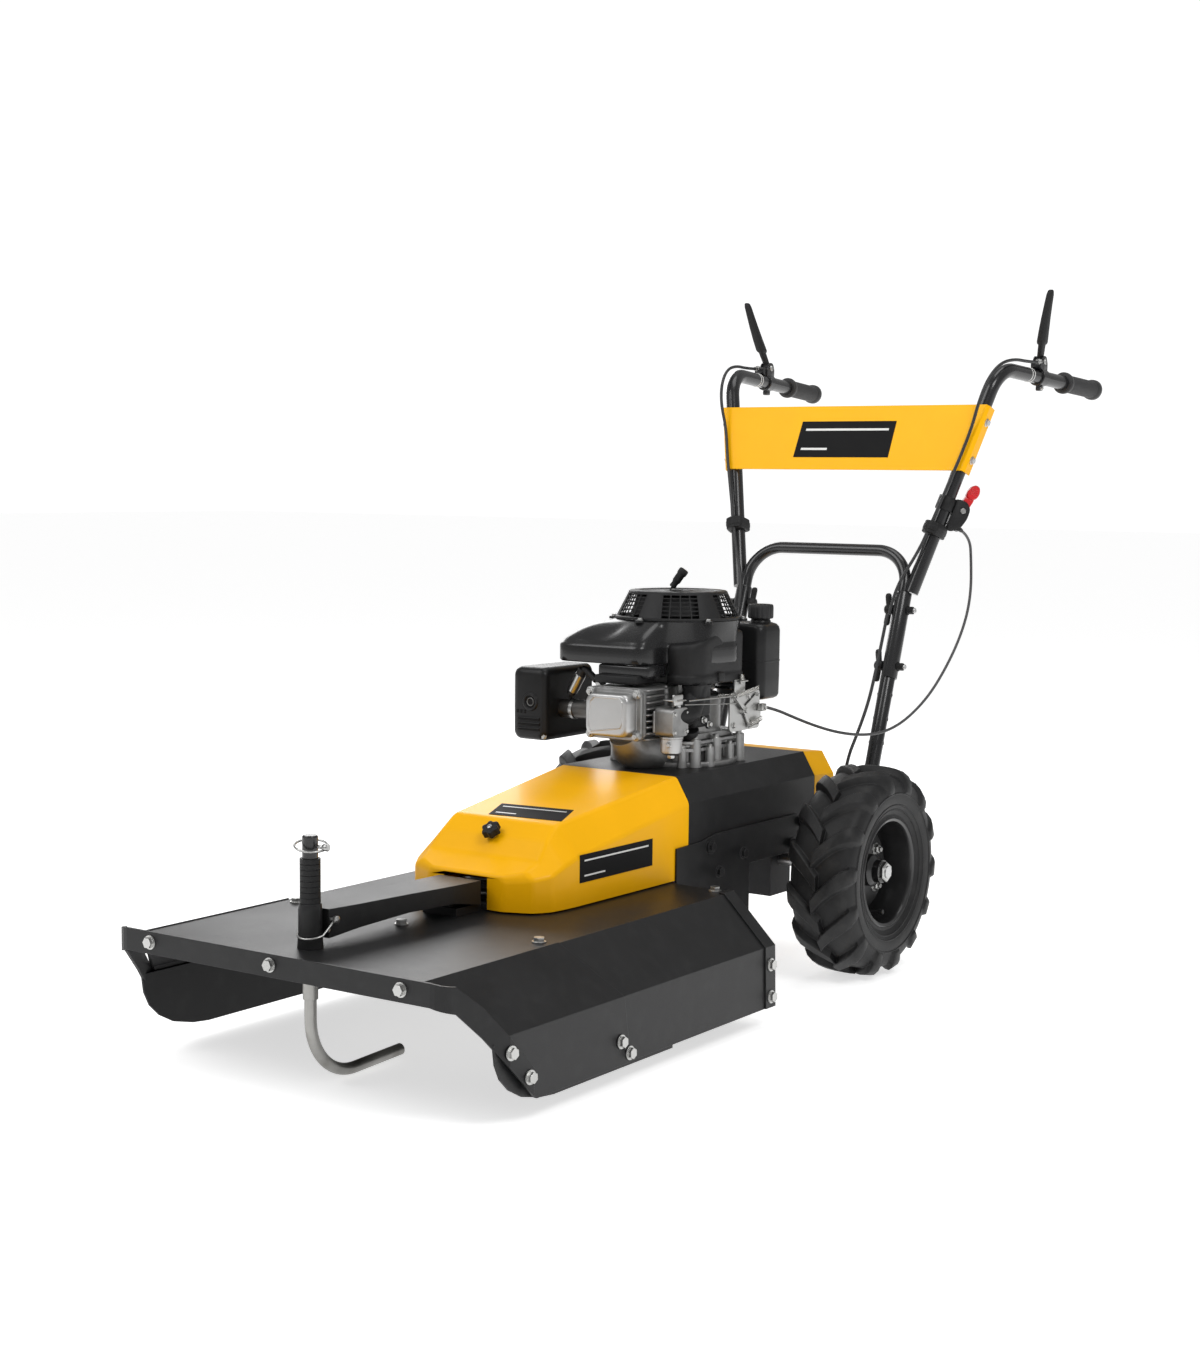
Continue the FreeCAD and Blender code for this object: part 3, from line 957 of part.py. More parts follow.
def cord(points, radius, label_):
    radii = natural_radii(points)
    solid, length = tube(points, radii, radius)
    want = math.pi * radius * radius * length
    CORDS[label_] = (length, min(radii), solid.Volume / want)
    print("cord", label_, "length %.1f" % length, "min radius %.1f" % min(radii), "max %.1f" % max(radii), "volume ratio %.5f" % (solid.Volume / want), "all", [round(r_) for r_ in radii])
    return solid


# throttle cable: from the rear of the throttle housing's lower end down behind the handle,
# round the leg's foot and forward over the rear cover to the engine's throttle linkage
cs = gland_at + gn * 34
cable_pts = [tuple(cs), tuple(cs + gn * 38), (224.0, 434.0, 648.0), (230.0, 424.0, 600.0), (234.0, 402.0, 556.0), (233.0, 370.0, 510.0), (226.0, 336.0, 465.0),
             (216.0, 300.0, 424.0), (204.0, 262.0, 394.0), (196.0, 222.0, 376.0), (186.0, 180.0, 366.0), (172.0, 130.0, 366.0), (152.0, 84.0, 374.0), (132.0, 42.0, 388.0), (116.0, 2.0, 404.0), (106.0, -34.0, 418.0), (102.0, -66.0, 425.0)]
tc = cord(cable_pts, D["cable_radius"], "throttle_cable")
node(feature(tc, "throttle_cable"), "throttle_cable")

front_n = front_out
upper_cables, lower_cables = [], []


def beside(z, off_f, off_s=0.0):
    return tuple(on_tube(z) + front_n * (pr + off_f) + side_out * off_s)


start = V(lp.x + 7.8, lp.y - 12, lp.z - 1.0) + V(0, -1, -0.05).normalize() * 20.05
up_pts = [tuple(start), tuple(start + V(-1.6, -36, -0.6)), (281.0, 464.0, 1000.5), (274.5, 420.0, 992.0), (266.5, 388.0, 964.0), (258.0, 373.8, 926.0)]
up_pts += [beside(876, 9.6, 3), beside(824, 9.4, 3), beside(768, 8.6, 0), beside(712, 7.6, -3), beside(660, 8.0, -6)]
q0 = on_leg(604, -6.0, -24.0)
up_pts += [q0, on_leg(560, -8.0, -22.5)]
uc = cord(up_pts, D["clutch_cable_radius"], "clutch_cable_upper")
ucm = uc.mirror(V(0, 0, 0), V(1, 0, 0))
node(feature(Part.makeCompound([uc, ucm]), "clutch_cables_upper"), "clutch_cables_upper")
lo_pts = [on_leg(560, -8.0, -29.6), on_leg(512, -9.5, -29.0), on_leg(462, -11.0, -29.0), on_leg(412, -13.5, -30.0), (139.0, 186.0, 362.0), (132.5, 160.0, 316.0), (132.0, 150.0, 268.0)]
lc = cord(lo_pts, D["clutch_cable_radius"], "clutch_cable_lower")
lcm = lc.mirror(V(0, 0, 0), V(1, 0, 0))
node(feature(Part.makeCompound([lc, lcm]), "clutch_cables_lower"), "clutch_cables_lower")

# ------------------------------------------------------------------ check and write
doc.recompute()
bad = []
for o in doc.Objects:
    for flag in ("Invalid", "Error"):
        if flag in o.State:
            bad.append((o.Name, o.Label, o.State))
for o in NODES:
    s_ = o.Shape
    if s_.isNull() or not s_.isValid() or not s_.Solids or s_.Volume <= 0:
        bad.append((o.Name, o.Label, "shape", s_.isNull() or s_.isValid(), len(s_.Solids)))
if bad:
    for b_ in bad:
        print("BAD", b_)
    raise RuntimeError("sub-parts failed: %d" % len(bad))
labels = [o.Label for o in NODES]
assert len(set(labels)) == len(labels), "labels repeat"
total = FreeCAD.BoundBox()
for o in NODES:
    if len(o.Shape.Solids) == 1 and o.Shape.ShapeType in ("Compound", "Solid", "CompSolid"):
        o.Shape.Solids[0].exportStep("parts/%s.step" % o.Label)
    else:
        o.Shape.exportStep("parts/%s.step" % o.Label)
    total.add(o.Shape.BoundBox)
print("nodes", len(NODES), "box", [round(q, 2) for q in (total.XMin, total.XMax, total.YMin, total.YMax, total.ZMin, total.ZMax)])
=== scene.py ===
import math
import random

import bmesh
import bpy
from mathutils import Matrix, Vector


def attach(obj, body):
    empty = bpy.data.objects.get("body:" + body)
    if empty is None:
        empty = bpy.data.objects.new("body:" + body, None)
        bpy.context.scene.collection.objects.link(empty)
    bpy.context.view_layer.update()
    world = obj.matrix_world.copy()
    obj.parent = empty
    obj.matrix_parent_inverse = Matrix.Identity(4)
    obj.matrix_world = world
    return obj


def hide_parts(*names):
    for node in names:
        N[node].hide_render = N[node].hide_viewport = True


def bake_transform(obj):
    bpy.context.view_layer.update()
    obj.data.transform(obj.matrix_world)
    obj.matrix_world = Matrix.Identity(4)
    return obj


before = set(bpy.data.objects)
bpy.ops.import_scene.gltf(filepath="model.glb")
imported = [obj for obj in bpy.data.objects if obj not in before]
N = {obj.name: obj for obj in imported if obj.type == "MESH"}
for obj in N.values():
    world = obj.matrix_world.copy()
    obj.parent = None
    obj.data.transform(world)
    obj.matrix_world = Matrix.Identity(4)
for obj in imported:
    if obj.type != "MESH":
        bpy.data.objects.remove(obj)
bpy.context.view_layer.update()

SHIFT = 0.1595
random.seed(7)
scene = bpy.context.scene


def mm(x, y, z):
    """A point in millimetres about the wheel axle, in the row frame in metres."""
    return Vector((x / 1000.0, y / 1000.0 + SHIFT, z / 1000.0))


# ------------------------------------------------------------------ materials
def surface(name, color, rough=0.4, metal=0.0, coat=0.0, grain=900.0, bump=0.12, depth=0.0004, var=0.10,
            rough_var=0.10, edge=None, edge_amount=0.5, bevel=0.0008, brushed=None, dust=None, dust_amount=0.0,
            spec=0.5, cells=False, sheen=0.0):
    m = bpy.data.materials.new(name)
    m.use_nodes = True
    nt = m.node_tree
    nt.nodes.clear()
    out = nt.nodes.new("ShaderNodeOutputMaterial")
    b = nt.nodes.new("ShaderNodeBsdfPrincipled")
    nt.links.new(b.outputs[0], out.inputs[0])
    b.inputs["Metallic"].default_value = metal
    b.inputs["Coat Weight"].default_value = coat
    b.inputs["Coat Roughness"].default_value = 0.08
    b.inputs["Specular IOR Level"].default_value = spec
    b.inputs["Sheen Weight"].default_value = sheen
    tc = nt.nodes.new("ShaderNodeTexCoord")
    mp = nt.nodes.new("ShaderNodeMapping")
    nt.links.new(tc.outputs["Object"], mp.inputs["Vector"])
    if brushed:
        mp.inputs["Scale"].default_value = brushed
    big = nt.nodes.new("ShaderNodeTexNoise")
    big.inputs["Scale"].default_value = 9.0
    big.inputs["Detail"].default_value = 5.0
    big.inputs["Roughness"].default_value = 0.6
    nt.links.new(tc.outputs["Object"], big.inputs["Vector"])
    fine = nt.nodes.new("ShaderNodeTexVoronoi" if cells else "ShaderNodeTexNoise")
    fine.inputs["Scale"].default_value = grain
    if not cells:
        fine.inputs["Detail"].default_value = 3.0
    nt.links.new(mp.outputs[0], fine.inputs["Vector"])
    fac = fine.outputs["Distance"] if cells else fine.outputs["Fac"]
    ramp = nt.nodes.new("ShaderNodeValToRGB")
    lo = [max(0.0, c * (1 - var)) for c in color]
    hi = [min(1.0, c * (1 + var) + 0.002) for c in color]
    ramp.color_ramp.elements[0].position = 0.3
    ramp.color_ramp.elements[1].position = 0.7
    ramp.color_ramp.elements[0].color = (*lo, 1)
    ramp.color_ramp.elements[1].color = (*hi, 1)
    nt.links.new(big.outputs["Fac"], ramp.inputs[0])
    last = ramp.outputs[0]
    bev = nt.nodes.new("ShaderNodeBevel")
    bev.samples = 4
    bev.inputs["Radius"].default_value = bevel
    # Convex edges, found where the bevelled normal leaves the true normal, get the lighter edge colour in noisy
    # patches: partly painted edge highlight, partly rubbed wear.
    if edge is not None:
        geo = nt.nodes.new("ShaderNodeNewGeometry")
        dot = nt.nodes.new("ShaderNodeVectorMath")
        dot.operation = "DOT_PRODUCT"
        nt.links.new(bev.outputs[0], dot.inputs[0])
        nt.links.new(geo.outputs["Normal"], dot.inputs[1])
        er = nt.nodes.new("ShaderNodeMapRange")
        er.inputs["From Min"].default_value = 0.97
        er.inputs["From Max"].default_value = 0.80
        er.inputs["To Min"].default_value = 0.0
        er.inputs["To Max"].default_value = edge_amount
        nt.links.new(dot.outputs["Value"], er.inputs["Value"])
        edge_highlight_and_wear = nt.nodes.new("ShaderNodeMath")
        edge_highlight_and_wear.operation = "MULTIPLY"
        wn = nt.nodes.new("ShaderNodeTexNoise")
        wn.inputs["Scale"].default_value = 160.0
        wn.inputs["Detail"].default_value = 4.0
        nt.links.new(tc.outputs["Object"], wn.inputs["Vector"])
        nt.links.new(er.outputs[0], edge_highlight_and_wear.inputs[0])
        nt.links.new(wn.outputs["Fac"], edge_highlight_and_wear.inputs[1])
        mx = nt.nodes.new("ShaderNodeMix")
        mx.data_type = "RGBA"
        mx.inputs["B"].default_value = (*edge, 1)
        for k in range(len(mx.inputs)):
            if mx.inputs[k].name == "B" and mx.inputs[k].type == "RGBA":
                mx.inputs[k].default_value = (*edge, 1)
        ia = [i for i in mx.inputs if i.name == "A" and i.type == "RGBA"][0]
        nt.links.new(edge_highlight_and_wear.outputs[0], mx.inputs[0])
        nt.links.new(last, ia)
        last = [o for o in mx.outputs if o.type == "RGBA"][0]
    if dust is not None:
        dn = nt.nodes.new("ShaderNodeTexNoise")
        dn.inputs["Scale"].default_value = 38.0
        dn.inputs["Detail"].default_value = 8.0
        nt.links.new(tc.outputs["Object"], dn.inputs["Vector"])
        dr = nt.nodes.new("ShaderNodeMapRange")
        dr.inputs["From Min"].default_value = 0.5
        dr.inputs["From Max"].default_value = 0.75
        dr.inputs["To Max"].default_value = dust_amount
        nt.links.new(dn.outputs["Fac"], dr.inputs["Value"])
        mx = nt.nodes.new("ShaderNodeMix")
        mx.data_type = "RGBA"
        for i in mx.inputs:
            if i.name == "B" and i.type == "RGBA":
                i.default_value = (*dust, 1)
        ia = [i for i in mx.inputs if i.name == "A" and i.type == "RGBA"][0]
        nt.links.new(dr.outputs[0], mx.inputs[0])
        nt.links.new(last, ia)
        last = [o for o in mx.outputs if o.type == "RGBA"][0]
    nt.links.new(last, b.inputs["Base Color"])
    rr = nt.nodes.new("ShaderNodeMapRange")
    rr.inputs["To Min"].default_value = max(0.02, rough - rough_var)
    rr.inputs["To Max"].default_value = min(1.0, rough + rough_var)
    rr.inputs["From Min"].default_value = 0.25
    rr.inputs["From Max"].default_value = 0.75
    mixn = nt.nodes.new("ShaderNodeMath")
    mixn.operation = "MULTIPLY_ADD"
    mixn.inputs[1].default_value = 0.45
    half = nt.nodes.new("ShaderNodeMath")
    half.operation = "MULTIPLY"
    half.inputs[1].default_value = 0.55
    nt.links.new(big.outputs["Fac"], half.inputs[0])
    nt.links.new(fac, mixn.inputs[0])
    nt.links.new(half.outputs[0], mixn.inputs[2])
    nt.links.new(mixn.outputs[0], rr.inputs["Value"])
    nt.links.new(rr.outputs[0], b.inputs["Roughness"])
    bp = nt.nodes.new("ShaderNodeBump")
    bp.inputs["Strength"].default_value = bump
    bp.inputs["Distance"].default_value = depth
    nt.links.new(fac, bp.inputs["Height"])
    nt.links.new(bev.outputs[0], bp.inputs["Normal"])
    nt.links.new(bp.outputs[0], b.inputs["Normal"])
    return m


YEL = (0.96, 0.47, 0.0)
M = {
    "panel_yellow": surface("panel_yellow", YEL, 0.37, coat=0.05, grain=420, bump=0.05, var=0.03, rough_var=0.05, edge=(0.98, 0.58, 0.06), edge_amount=0.25, bevel=0.0014, spec=0.13),
    "panel_black": surface("panel_black", (0.009, 0.009, 0.0095), 0.42, grain=1500, bump=0.42, depth=0.0003, var=0.22, rough_var=0.07, edge=(0.10, 0.10, 0.105), edge_amount=0.8, bevel=0.0012, dust=(0.06, 0.06, 0.06), dust_amount=0.10, spec=0.30),
    "tube_black": surface("tube_black", (0.010, 0.010, 0.011), 0.27, coat=0.35, grain=900, bump=0.14, depth=0.0002, var=0.2, rough_var=0.06, edge=(0.08, 0.08, 0.085), edge_amount=0.5, bevel=0.001, spec=0.36),
    "zinc": surface("zinc", (0.46, 0.46, 0.45), 0.32, metal=1.0, grain=700, bump=0.10, var=0.14, rough_var=0.10, edge=(0.86, 0.86, 0.84), edge_amount=0.6, bevel=0.0006),
    "rod_steel": surface("rod_steel", (0.34, 0.335, 0.32), 0.42, metal=1.0, grain=500, bump=0.18, var=0.25, rough_var=0.14, brushed=(1, 1, 0.12), dust=(0.16, 0.15, 0.13), dust_amount=0.5),
    "steel": surface("steel", (0.50, 0.50, 0.50), 0.30, metal=1.0, grain=700, bump=0.12, var=0.12, rough_var=0.10, brushed=(1, 1, 0.05)),
    "steel_dark": surface("steel_dark", (0.13, 0.128, 0.125), 0.48, metal=1.0, grain=260, bump=0.25, var=0.25, rough_var=0.14, edge=(0.5, 0.5, 0.48), edge_amount=0.7, dust=(0.10, 0.075, 0.05), dust_amount=0.35),
    "cast_iron": surface("cast_iron", (0.045, 0.045, 0.047), 0.60, metal=0.6, grain=520, bump=0.6, depth=0.0005, var=0.25, rough_var=0.12),
    "alloy": surface("alloy", (0.33, 0.33, 0.327), 0.46, metal=0.9, grain=620, bump=0.42, depth=0.0005, var=0.16, rough_var=0.12, edge=(0.80, 0.80, 0.79), edge_amount=0.6, bevel=0.001, dust=(0.16, 0.155, 0.15), dust_amount=0.55),
    "alloy_light": surface("alloy_light", (0.45, 0.45, 0.447), 0.36, metal=0.95, grain=820, bump=0.28, depth=0.0004, var=0.08, rough_var=0.08, edge=(0.9, 0.9, 0.89), edge_amount=0.5, bevel=0.001),
    "engine_black": surface("engine_black", (0.008, 0.008, 0.0085), 0.26, coat=0.2, grain=900, bump=0.10, depth=0.0003, var=0.18, rough_var=0.06, edge=(0.06, 0.06, 0.062), edge_amount=0.4, bevel=0.001, spec=0.34),
    "muffler_metal": surface("muffler_metal", (0.008, 0.008, 0.0085), 0.40, metal=0.2, grain=1100, bump=0.30, depth=0.0003, var=0.22, rough_var=0.08, edge=(0.10, 0.10, 0.10), edge_amount=0.6, spec=0.30),
    "plastic_black": surface("plastic_black", (0.011, 0.011, 0.0115), 0.47, grain=1700, bump=0.42, depth=0.0003, cells=True, var=0.15, rough_var=0.08, edge=(0.07, 0.07, 0.072), edge_amount=0.4, bevel=0.0008, spec=0.26),
    "tank_plastic": surface("tank_plastic", (0.009, 0.009, 0.0095), 0.34, coat=0.04, grain=800, bump=0.10, depth=0.0003, var=0.18, rough_var=0.06, spec=0.25),
    "cap_plastic": surface("cap_plastic", (0.022, 0.022, 0.023), 0.50, grain=1500, bump=0.4, depth=0.0003, cells=True, var=0.15, rough_var=0.08, spec=0.28),
    "lever_red": surface("lever_red", (0.62, 0.008, 0.012), 0.28, coat=0.3, grain=1100, bump=0.12, depth=0.0002, var=0.10, rough_var=0.05, edge=(0.85, 0.12, 0.10), edge_amount=0.3),
    "grip_rubber": surface("grip_rubber", (0.017, 0.017, 0.018), 0.58, grain=1900, bump=0.5, depth=0.0003, var=0.18, rough_var=0.08, sheen=0.1),
    "rubber": surface("rubber", (0.018, 0.018, 0.019), 0.50, grain=1300, bump=0.35, depth=0.0003, var=0.18, rough_var=0.09, spec=0.30),
    "belt_rubber": surface("belt_rubber", (0.025, 0.025, 0.026), 0.66, grain=1100, bump=0.6, depth=0.0004, var=0.2, rough_var=0.1, brushed=(1, 0.3, 3)),
    "tyre": surface("tyre", (0.012, 0.012, 0.0125), 0.52, grain=620, bump=0.35, depth=0.0006, var=0.22, rough_var=0.10, edge=(0.055, 0.055, 0.056), edge_amount=0.5, bevel=0.002, dust=(0.045, 0.044, 0.042), dust_amount=0.35, spec=0.28),
    "rim_black": surface("rim_black", (0.011, 0.011, 0.0115), 0.32, coat=0.25, grain=900, bump=0.15, depth=0.0003, var=0.2, rough_var=0.07, edge=(0.10, 0.10, 0.10), edge_amount=0.6),
    "cable_black": surface("cable_black", (0.018, 0.018, 0.019), 0.42, grain=2200, bump=0.35, depth=0.0002, var=0.15, rough_var=0.07),
    "cable_grey": surface("cable_grey", (0.055, 0.055, 0.057), 0.40, grain=2200, bump=0.30, depth=0.0002, var=0.15, rough_var=0.07),
    # dark print on the decals, also used as painted shade in holes, slots and bores
    "dark_print_and_painted_shade": surface("dark_print_and_painted_shade", (0.008, 0.008, 0.0085), 0.62, grain=1600, bump=0.08, depth=0.0002, var=0.2, rough_var=0.05, spec=0.12),
    "decal_light": surface("decal_light", (0.72, 0.72, 0.70), 0.38, grain=1600, bump=0.08, depth=0.0002, var=0.04, rough_var=0.05),
    "spring_steel": surface("spring_steel", (0.70, 0.69, 0.66), 0.25, metal=1.0, grain=900, bump=0.08, var=0.12, rough_var=0.08),
}
NODE_MATERIAL = {
    "deck_shell": "panel_black", "side_panels": "panel_black", "front_bar": "panel_black", "deck_bolts": "zinc",
    "spindle_housing": "cast_iron", "rotor_spindle": "steel", "cutting_disc": "steel_dark", "blade_left": "steel_dark",
    "blade_right": "steel_dark", "spindle_pulley": "steel", "crank_pulley": "steel", "drive_belt": "belt_rubber",
    "front_beam": "panel_black", "post_sleeve": "panel_black", "spacer_rings": "plastic_black", "skid_rod": "rod_steel",
    "lynch_pin": "zinc", "spring_clip": "zinc", "hood": "panel_yellow", "hood_knob": "plastic_black",
    "chassis_box": "panel_black", "side_plates": "panel_black", "rear_cover": "panel_yellow", "gearbox": "cast_iron",
    "axle_shaft": "steel", "tyres": "tyre", "wheel_rims": "rim_black", "crankcase": "alloy", "cylinder_head": "alloy",
    "valve_cover": "alloy_light", "crankshaft": "steel", "flywheel": "alloy", "blower_housing": "engine_black",
    "recoil_guard": "plastic_black", "recoil_grip": "plastic_black", "air_filter_cover": "plastic_black",
    "carburettor": "alloy", "muffler_shield": "muffler_metal", "muffler": "steel_dark", "plug_boot": "rubber",
    "fuel_tank": "tank_plastic", "fuel_cap": "cap_plastic", "throttle_linkage": "zinc", "lower_handle": "tube_black",
    "handle_tubes": "tube_black", "handle_panel": "panel_yellow", "handle_fittings": "zinc", "grips": "grip_rubber",
    "lever_brackets": "zinc", "throttle_housing": "plastic_black", "throttle_lever": "lever_red",
}
for name, obj in N.items():
    key = NODE_MATERIAL.get(name, "plastic_black" if ("knob" in name or "lever" in name) else "cable_black")
    if not obj.material_slots:
        obj.data.materials.append(M[key])
    for s_ in obj.material_slots:
        s_.material = M[key]


# ------------------------------------------------------------------ mesh helpers (millimetres about the axle)
class Piece:
    """Collects parts of one visible piece in a bmesh, then makes the object."""

    def __init__(self, name):
        self.name = name
        self.bm = bmesh.new()
        self.mats = []

    def _mat(self, m):
        if m not in self.mats:
            self.mats.append(m)
        return self.mats.index(m)

    def add(self, verts, faces, m, smooth=True):
        k = self._mat(m)
        vs = [self.bm.verts.new(v) for v in verts]
        out = []
        for f in faces:
            try:
                fc = self.bm.faces.new([vs[i] for i in f])
            except ValueError:
                continue
            fc.material_index = k
            fc.smooth = smooth
            out.append(fc)
        return vs, out

    def lathe(self, profile, centre, axis, m, seg=48, closed=True, smooth=True):
        """Profile of (radius, height) about an axis through centre."""
        a = Vector(axis).normalized()
        q = Vector((0, 0, 1)).rotation_difference(a)
        verts, faces = [], []
        n = len(profile)
        for i in range(seg):
            t = 2 * math.pi * i / seg
            for r, h in profile:
                p = q @ Vector((r * math.cos(t), r * math.sin(t), h))
                verts.append(mm(centre[0] + p.x, centre[1] + p.y, centre[2] + p.z))
        for i in range(seg):
            j = (i + 1) % seg
            for k in range(n - 1):
                faces.append((i * n + k, j * n + k, j * n + k + 1, i * n + k + 1))
            if closed:
                faces.append((i * n + n - 1, j * n + n - 1, j * n, i * n))
        return self.add(verts, faces, m, smooth)

    def disc_caps(self, profile, centre, axis, m, seg=48):
        """Solid of revolution whose profile starts and ends on the axis."""
        a = Vector(axis).normalized()
        q = Vector((0, 0, 1)).rotation_difference(a)
        verts, faces, rings = [], [], []
        for r, h in profile:
            if r < 1e-6:
                rings.append([len(verts)])
                p = q @ Vector((0, 0, h))
                verts.append(mm(centre[0] + p.x, centre[1] + p.y, centre[2] + p.z))
            else:
                ring = []
                for i in range(seg):
                    t = 2 * math.pi * i / seg
                    p = q @ Vector((r * math.cos(t), r * math.sin(t), h))
                    ring.append(len(verts))
                    verts.append(mm(centre[0] + p.x, centre[1] + p.y, centre[2] + p.z))
                rings.append(ring)
        for r0, r1 in zip(rings[:-1], rings[1:]):
            if len(r0) == 1 and len(r1) == 1:
                continue
            for i in range(seg):
                j = (i + 1) % seg
                if len(r0) == 1:
                    faces.append((r0[0], r1[i], r1[j]))
                elif len(r1) == 1:
                    faces.append((r0[i], r0[j], r1[0]))
                else:
                    faces.append((r0[i], r0[j], r1[j], r1[i]))
        return self.add(verts, faces, m)

    def rod(self, a, b, r, m, seg=20, chamfer=0.0):
        a, b = Vector(a), Vector(b)
        length = (b - a).length
        c = chamfer if chamfer else min(r * 0.12, 0.8)
        self.disc_caps([(0, 0), (r - c, 0), (r, c), (r, length - c), (r - c, length), (0, length)], a, b - a, m, seg)

    def hexbolt(self, at, axis, m, across=7.5, head=5.3, washer=9.5, wt=1.6):
        self.disc_caps([(0, 0), (washer, 0), (washer, wt * 0.7), (washer - 0.5, wt), (0, wt)], at, axis, m, 28)
        a = Vector(axis).normalized()
        p = Vector(at) + a * wt
        self.disc_caps([(0, 0), (across, 0), (across, head * 0.78), (across * 0.86, head), (0, head)], p, axis, m, 6)

    def block(self, lo, hi, m, bevel=2.0, segs=3, rot=None, about=None, smooth=True):
        """Box with rounded edges."""
        b2 = bmesh.new()
        bmesh.ops.create_cube(b2, size=1.0)
        sx, sy, sz = (hi[i] - lo[i] for i in range(3))
        c = [(hi[i] + lo[i]) / 2 for i in range(3)]
        for v in b2.verts:
            v.co = Vector((v.co.x * sx, v.co.y * sy, v.co.z * sz))
        if bevel:
            bv = min(bevel, sx * 0.45, sy * 0.45, sz * 0.45)
            bmesh.ops.bevel(b2, geom=b2.edges[:], offset=bv, segments=segs, profile=0.5, affect="EDGES")
        k = self._mat(m)
        mapv = {}
        for v in b2.verts:
            p = v.co.copy()
            if rot is not None:
                p = rot @ p
            q = Vector(c) + p
            mapv[v.index if v.index >= 0 else id(v)] = None
        b2.verts.index_update()
        vs = []
        for v in b2.verts:
            p = v.co.copy()
            if rot is not None:
                p = rot @ p
            q = Vector(c) + p
            vs.append(self.bm.verts.new(mm(q.x, q.y, q.z)))
        for f in b2.faces:
            fc = self.bm.faces.new([vs[v.index] for v in f.verts])
            fc.material_index = k
            fc.smooth = smooth
        b2.free()

    def loft(self, sections, m, cap=True, smooth=True):
        """Closed sections of points, joined ring to ring."""
        n = len(sections[0])
        verts = [mm(*p) for s in sections for p in s]
        faces = []
        for k in range(len(sections) - 1):
            for i in range(n):
                j = (i + 1) % n
                faces.append((k * n + i, k * n + j, (k + 1) * n + j, (k + 1) * n + i))
        if cap:
            faces.append(tuple(reversed(range(n))))
            faces.append(tuple(range((len(sections) - 1) * n, len(sections) * n)))
        return self.add(verts, faces, m, smooth)

    def tube(self, points, r, m, seg=14, closed=False, radii=None):
        """Round bar swept through points."""
        pts = [Vector(p) for p in points]
        n = len(pts)
        rings = []
        up = None
        for i in range(n):
            if closed:
                t = (pts[(i + 1) % n] - pts[i - 1]).normalized()
            else:
                t = (pts[min(i + 1, n - 1)] - pts[max(i - 1, 0)]).normalized()
            if up is None:
                up = t.orthogonal().normalized()
            up = (up - t * up.dot(t)).normalized()
            side = t.cross(up)
            rad = radii[i] if radii else r
            rings.append([pts[i] + up * (rad * math.cos(2 * math.pi * k / seg)) + side * (rad * math.sin(2 * math.pi * k / seg)) for k in range(seg)])
        verts = [mm(*p) for ring in rings for p in ring]
        faces = []
        last = n if closed else n - 1
        for i in range(last):
            i2 = (i + 1) % n
            for k in range(seg):
                k2 = (k + 1) % seg
                faces.append((i * seg + k, i * seg + k2, i2 * seg + k2, i2 * seg + k))
        if not closed:
            faces.append(tuple(reversed(range(seg))))
            faces.append(tuple(range((n - 1) * seg, n * seg)))
        return self.add(verts, faces, m)

    def object(self, body, slot, *nodes, bevel=None, bevel_segs=3, angle=35, subdiv=0, sharp=40, weld=True):
        if weld:
            bmesh.ops.remove_doubles(self.bm, verts=self.bm.verts[:], dist=1e-6)
        bmesh.ops.recalc_face_normals(self.bm, faces=self.bm.faces[:])
        me = bpy.data.meshes.new(self.name)
        self.bm.to_mesh(me)
        self.bm.free()
        for m in self.mats:
            me.materials.append(M[m])
        ob = bpy.data.objects.new(self.name, me)
        scene.collection.objects.link(ob)
        if bevel:
            md = ob.modifiers.new("edges", "BEVEL")
            md.width = bevel / 1000.0
            md.segments = bevel_segs
            md.limit_method = "ANGLE"
            md.angle_limit = math.radians(angle)
            md.harden_normals = False
        if subdiv:
            sd = ob.modifiers.new("smooth", "SUBSURF")
            sd.levels = subdiv
            sd.render_levels = subdiv
        if not subdiv:
            me.set_sharp_from_angle(angle=math.radians(sharp))
        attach(ob, body)
        if nodes:
            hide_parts(*nodes)
        return ob


def arc_path(points, radii, step=6.0):
    """Straight runs joined by arcs, sampled for a rigid bent tube."""
    pts = [Vector(p) for p in points]
    out = [pts[0]]
    for i in range(1, len(pts) - 1):
        a = (pts[i - 1] - pts[i]).normalized()
        b = (pts[i + 1] - pts[i]).normalized()
        turn = math.pi - a.angle(b)
        r = radii[i - 1]
        back = r * math.tan(turn / 2)
        p0, p1 = pts[i] + a * back, pts[i] + b * back
        centre = pts[i] + (a + b).normalized() * (r / math.cos(turn / 2))
        e0, e1 = p0 - centre, p1 - centre
        n = max(6, int(math.degrees(turn) / step))
        for k in range(n + 1):
            q = e0.normalized().slerp(e1.normalized(), k / n) if turn > 1e-4 else e0.normalized()
            out.append(centre + q * r)
    out.append(pts[-1])
    return out


# ------------------------------------------------------------------ camera
AZ, EL, ROLL = math.radians(35.24), math.radians(5.96), math.radians(0.56)
back = Vector((math.sin(AZ) * math.cos(EL), -math.cos(AZ) * math.cos(EL), math.sin(EL)))
right = Vector((math.cos(AZ), math.sin(AZ), 0))
up = back.cross(right)
right2 = right * math.cos(ROLL) + up * math.sin(ROLL)
up2 = -right * math.sin(ROLL) + up * math.cos(ROLL)
cam_data = bpy.data.cameras.new("camera")
cam = bpy.data.objects.new("camera", cam_data)
scene.collection.objects.link(cam)
rot = Matrix((right2, up2, back)).transposed().to_4x4()
cam.matrix_world = Matrix.Translation((1.833, -2.8805, 0.792)) @ rot
cam_data.sensor_width = 36.0
cam_data.lens = 56.22
cam_data.shift_x = 0.0172
cam_data.shift_y = 0.0097
cam_data.clip_end = 100.0
scene.camera = cam

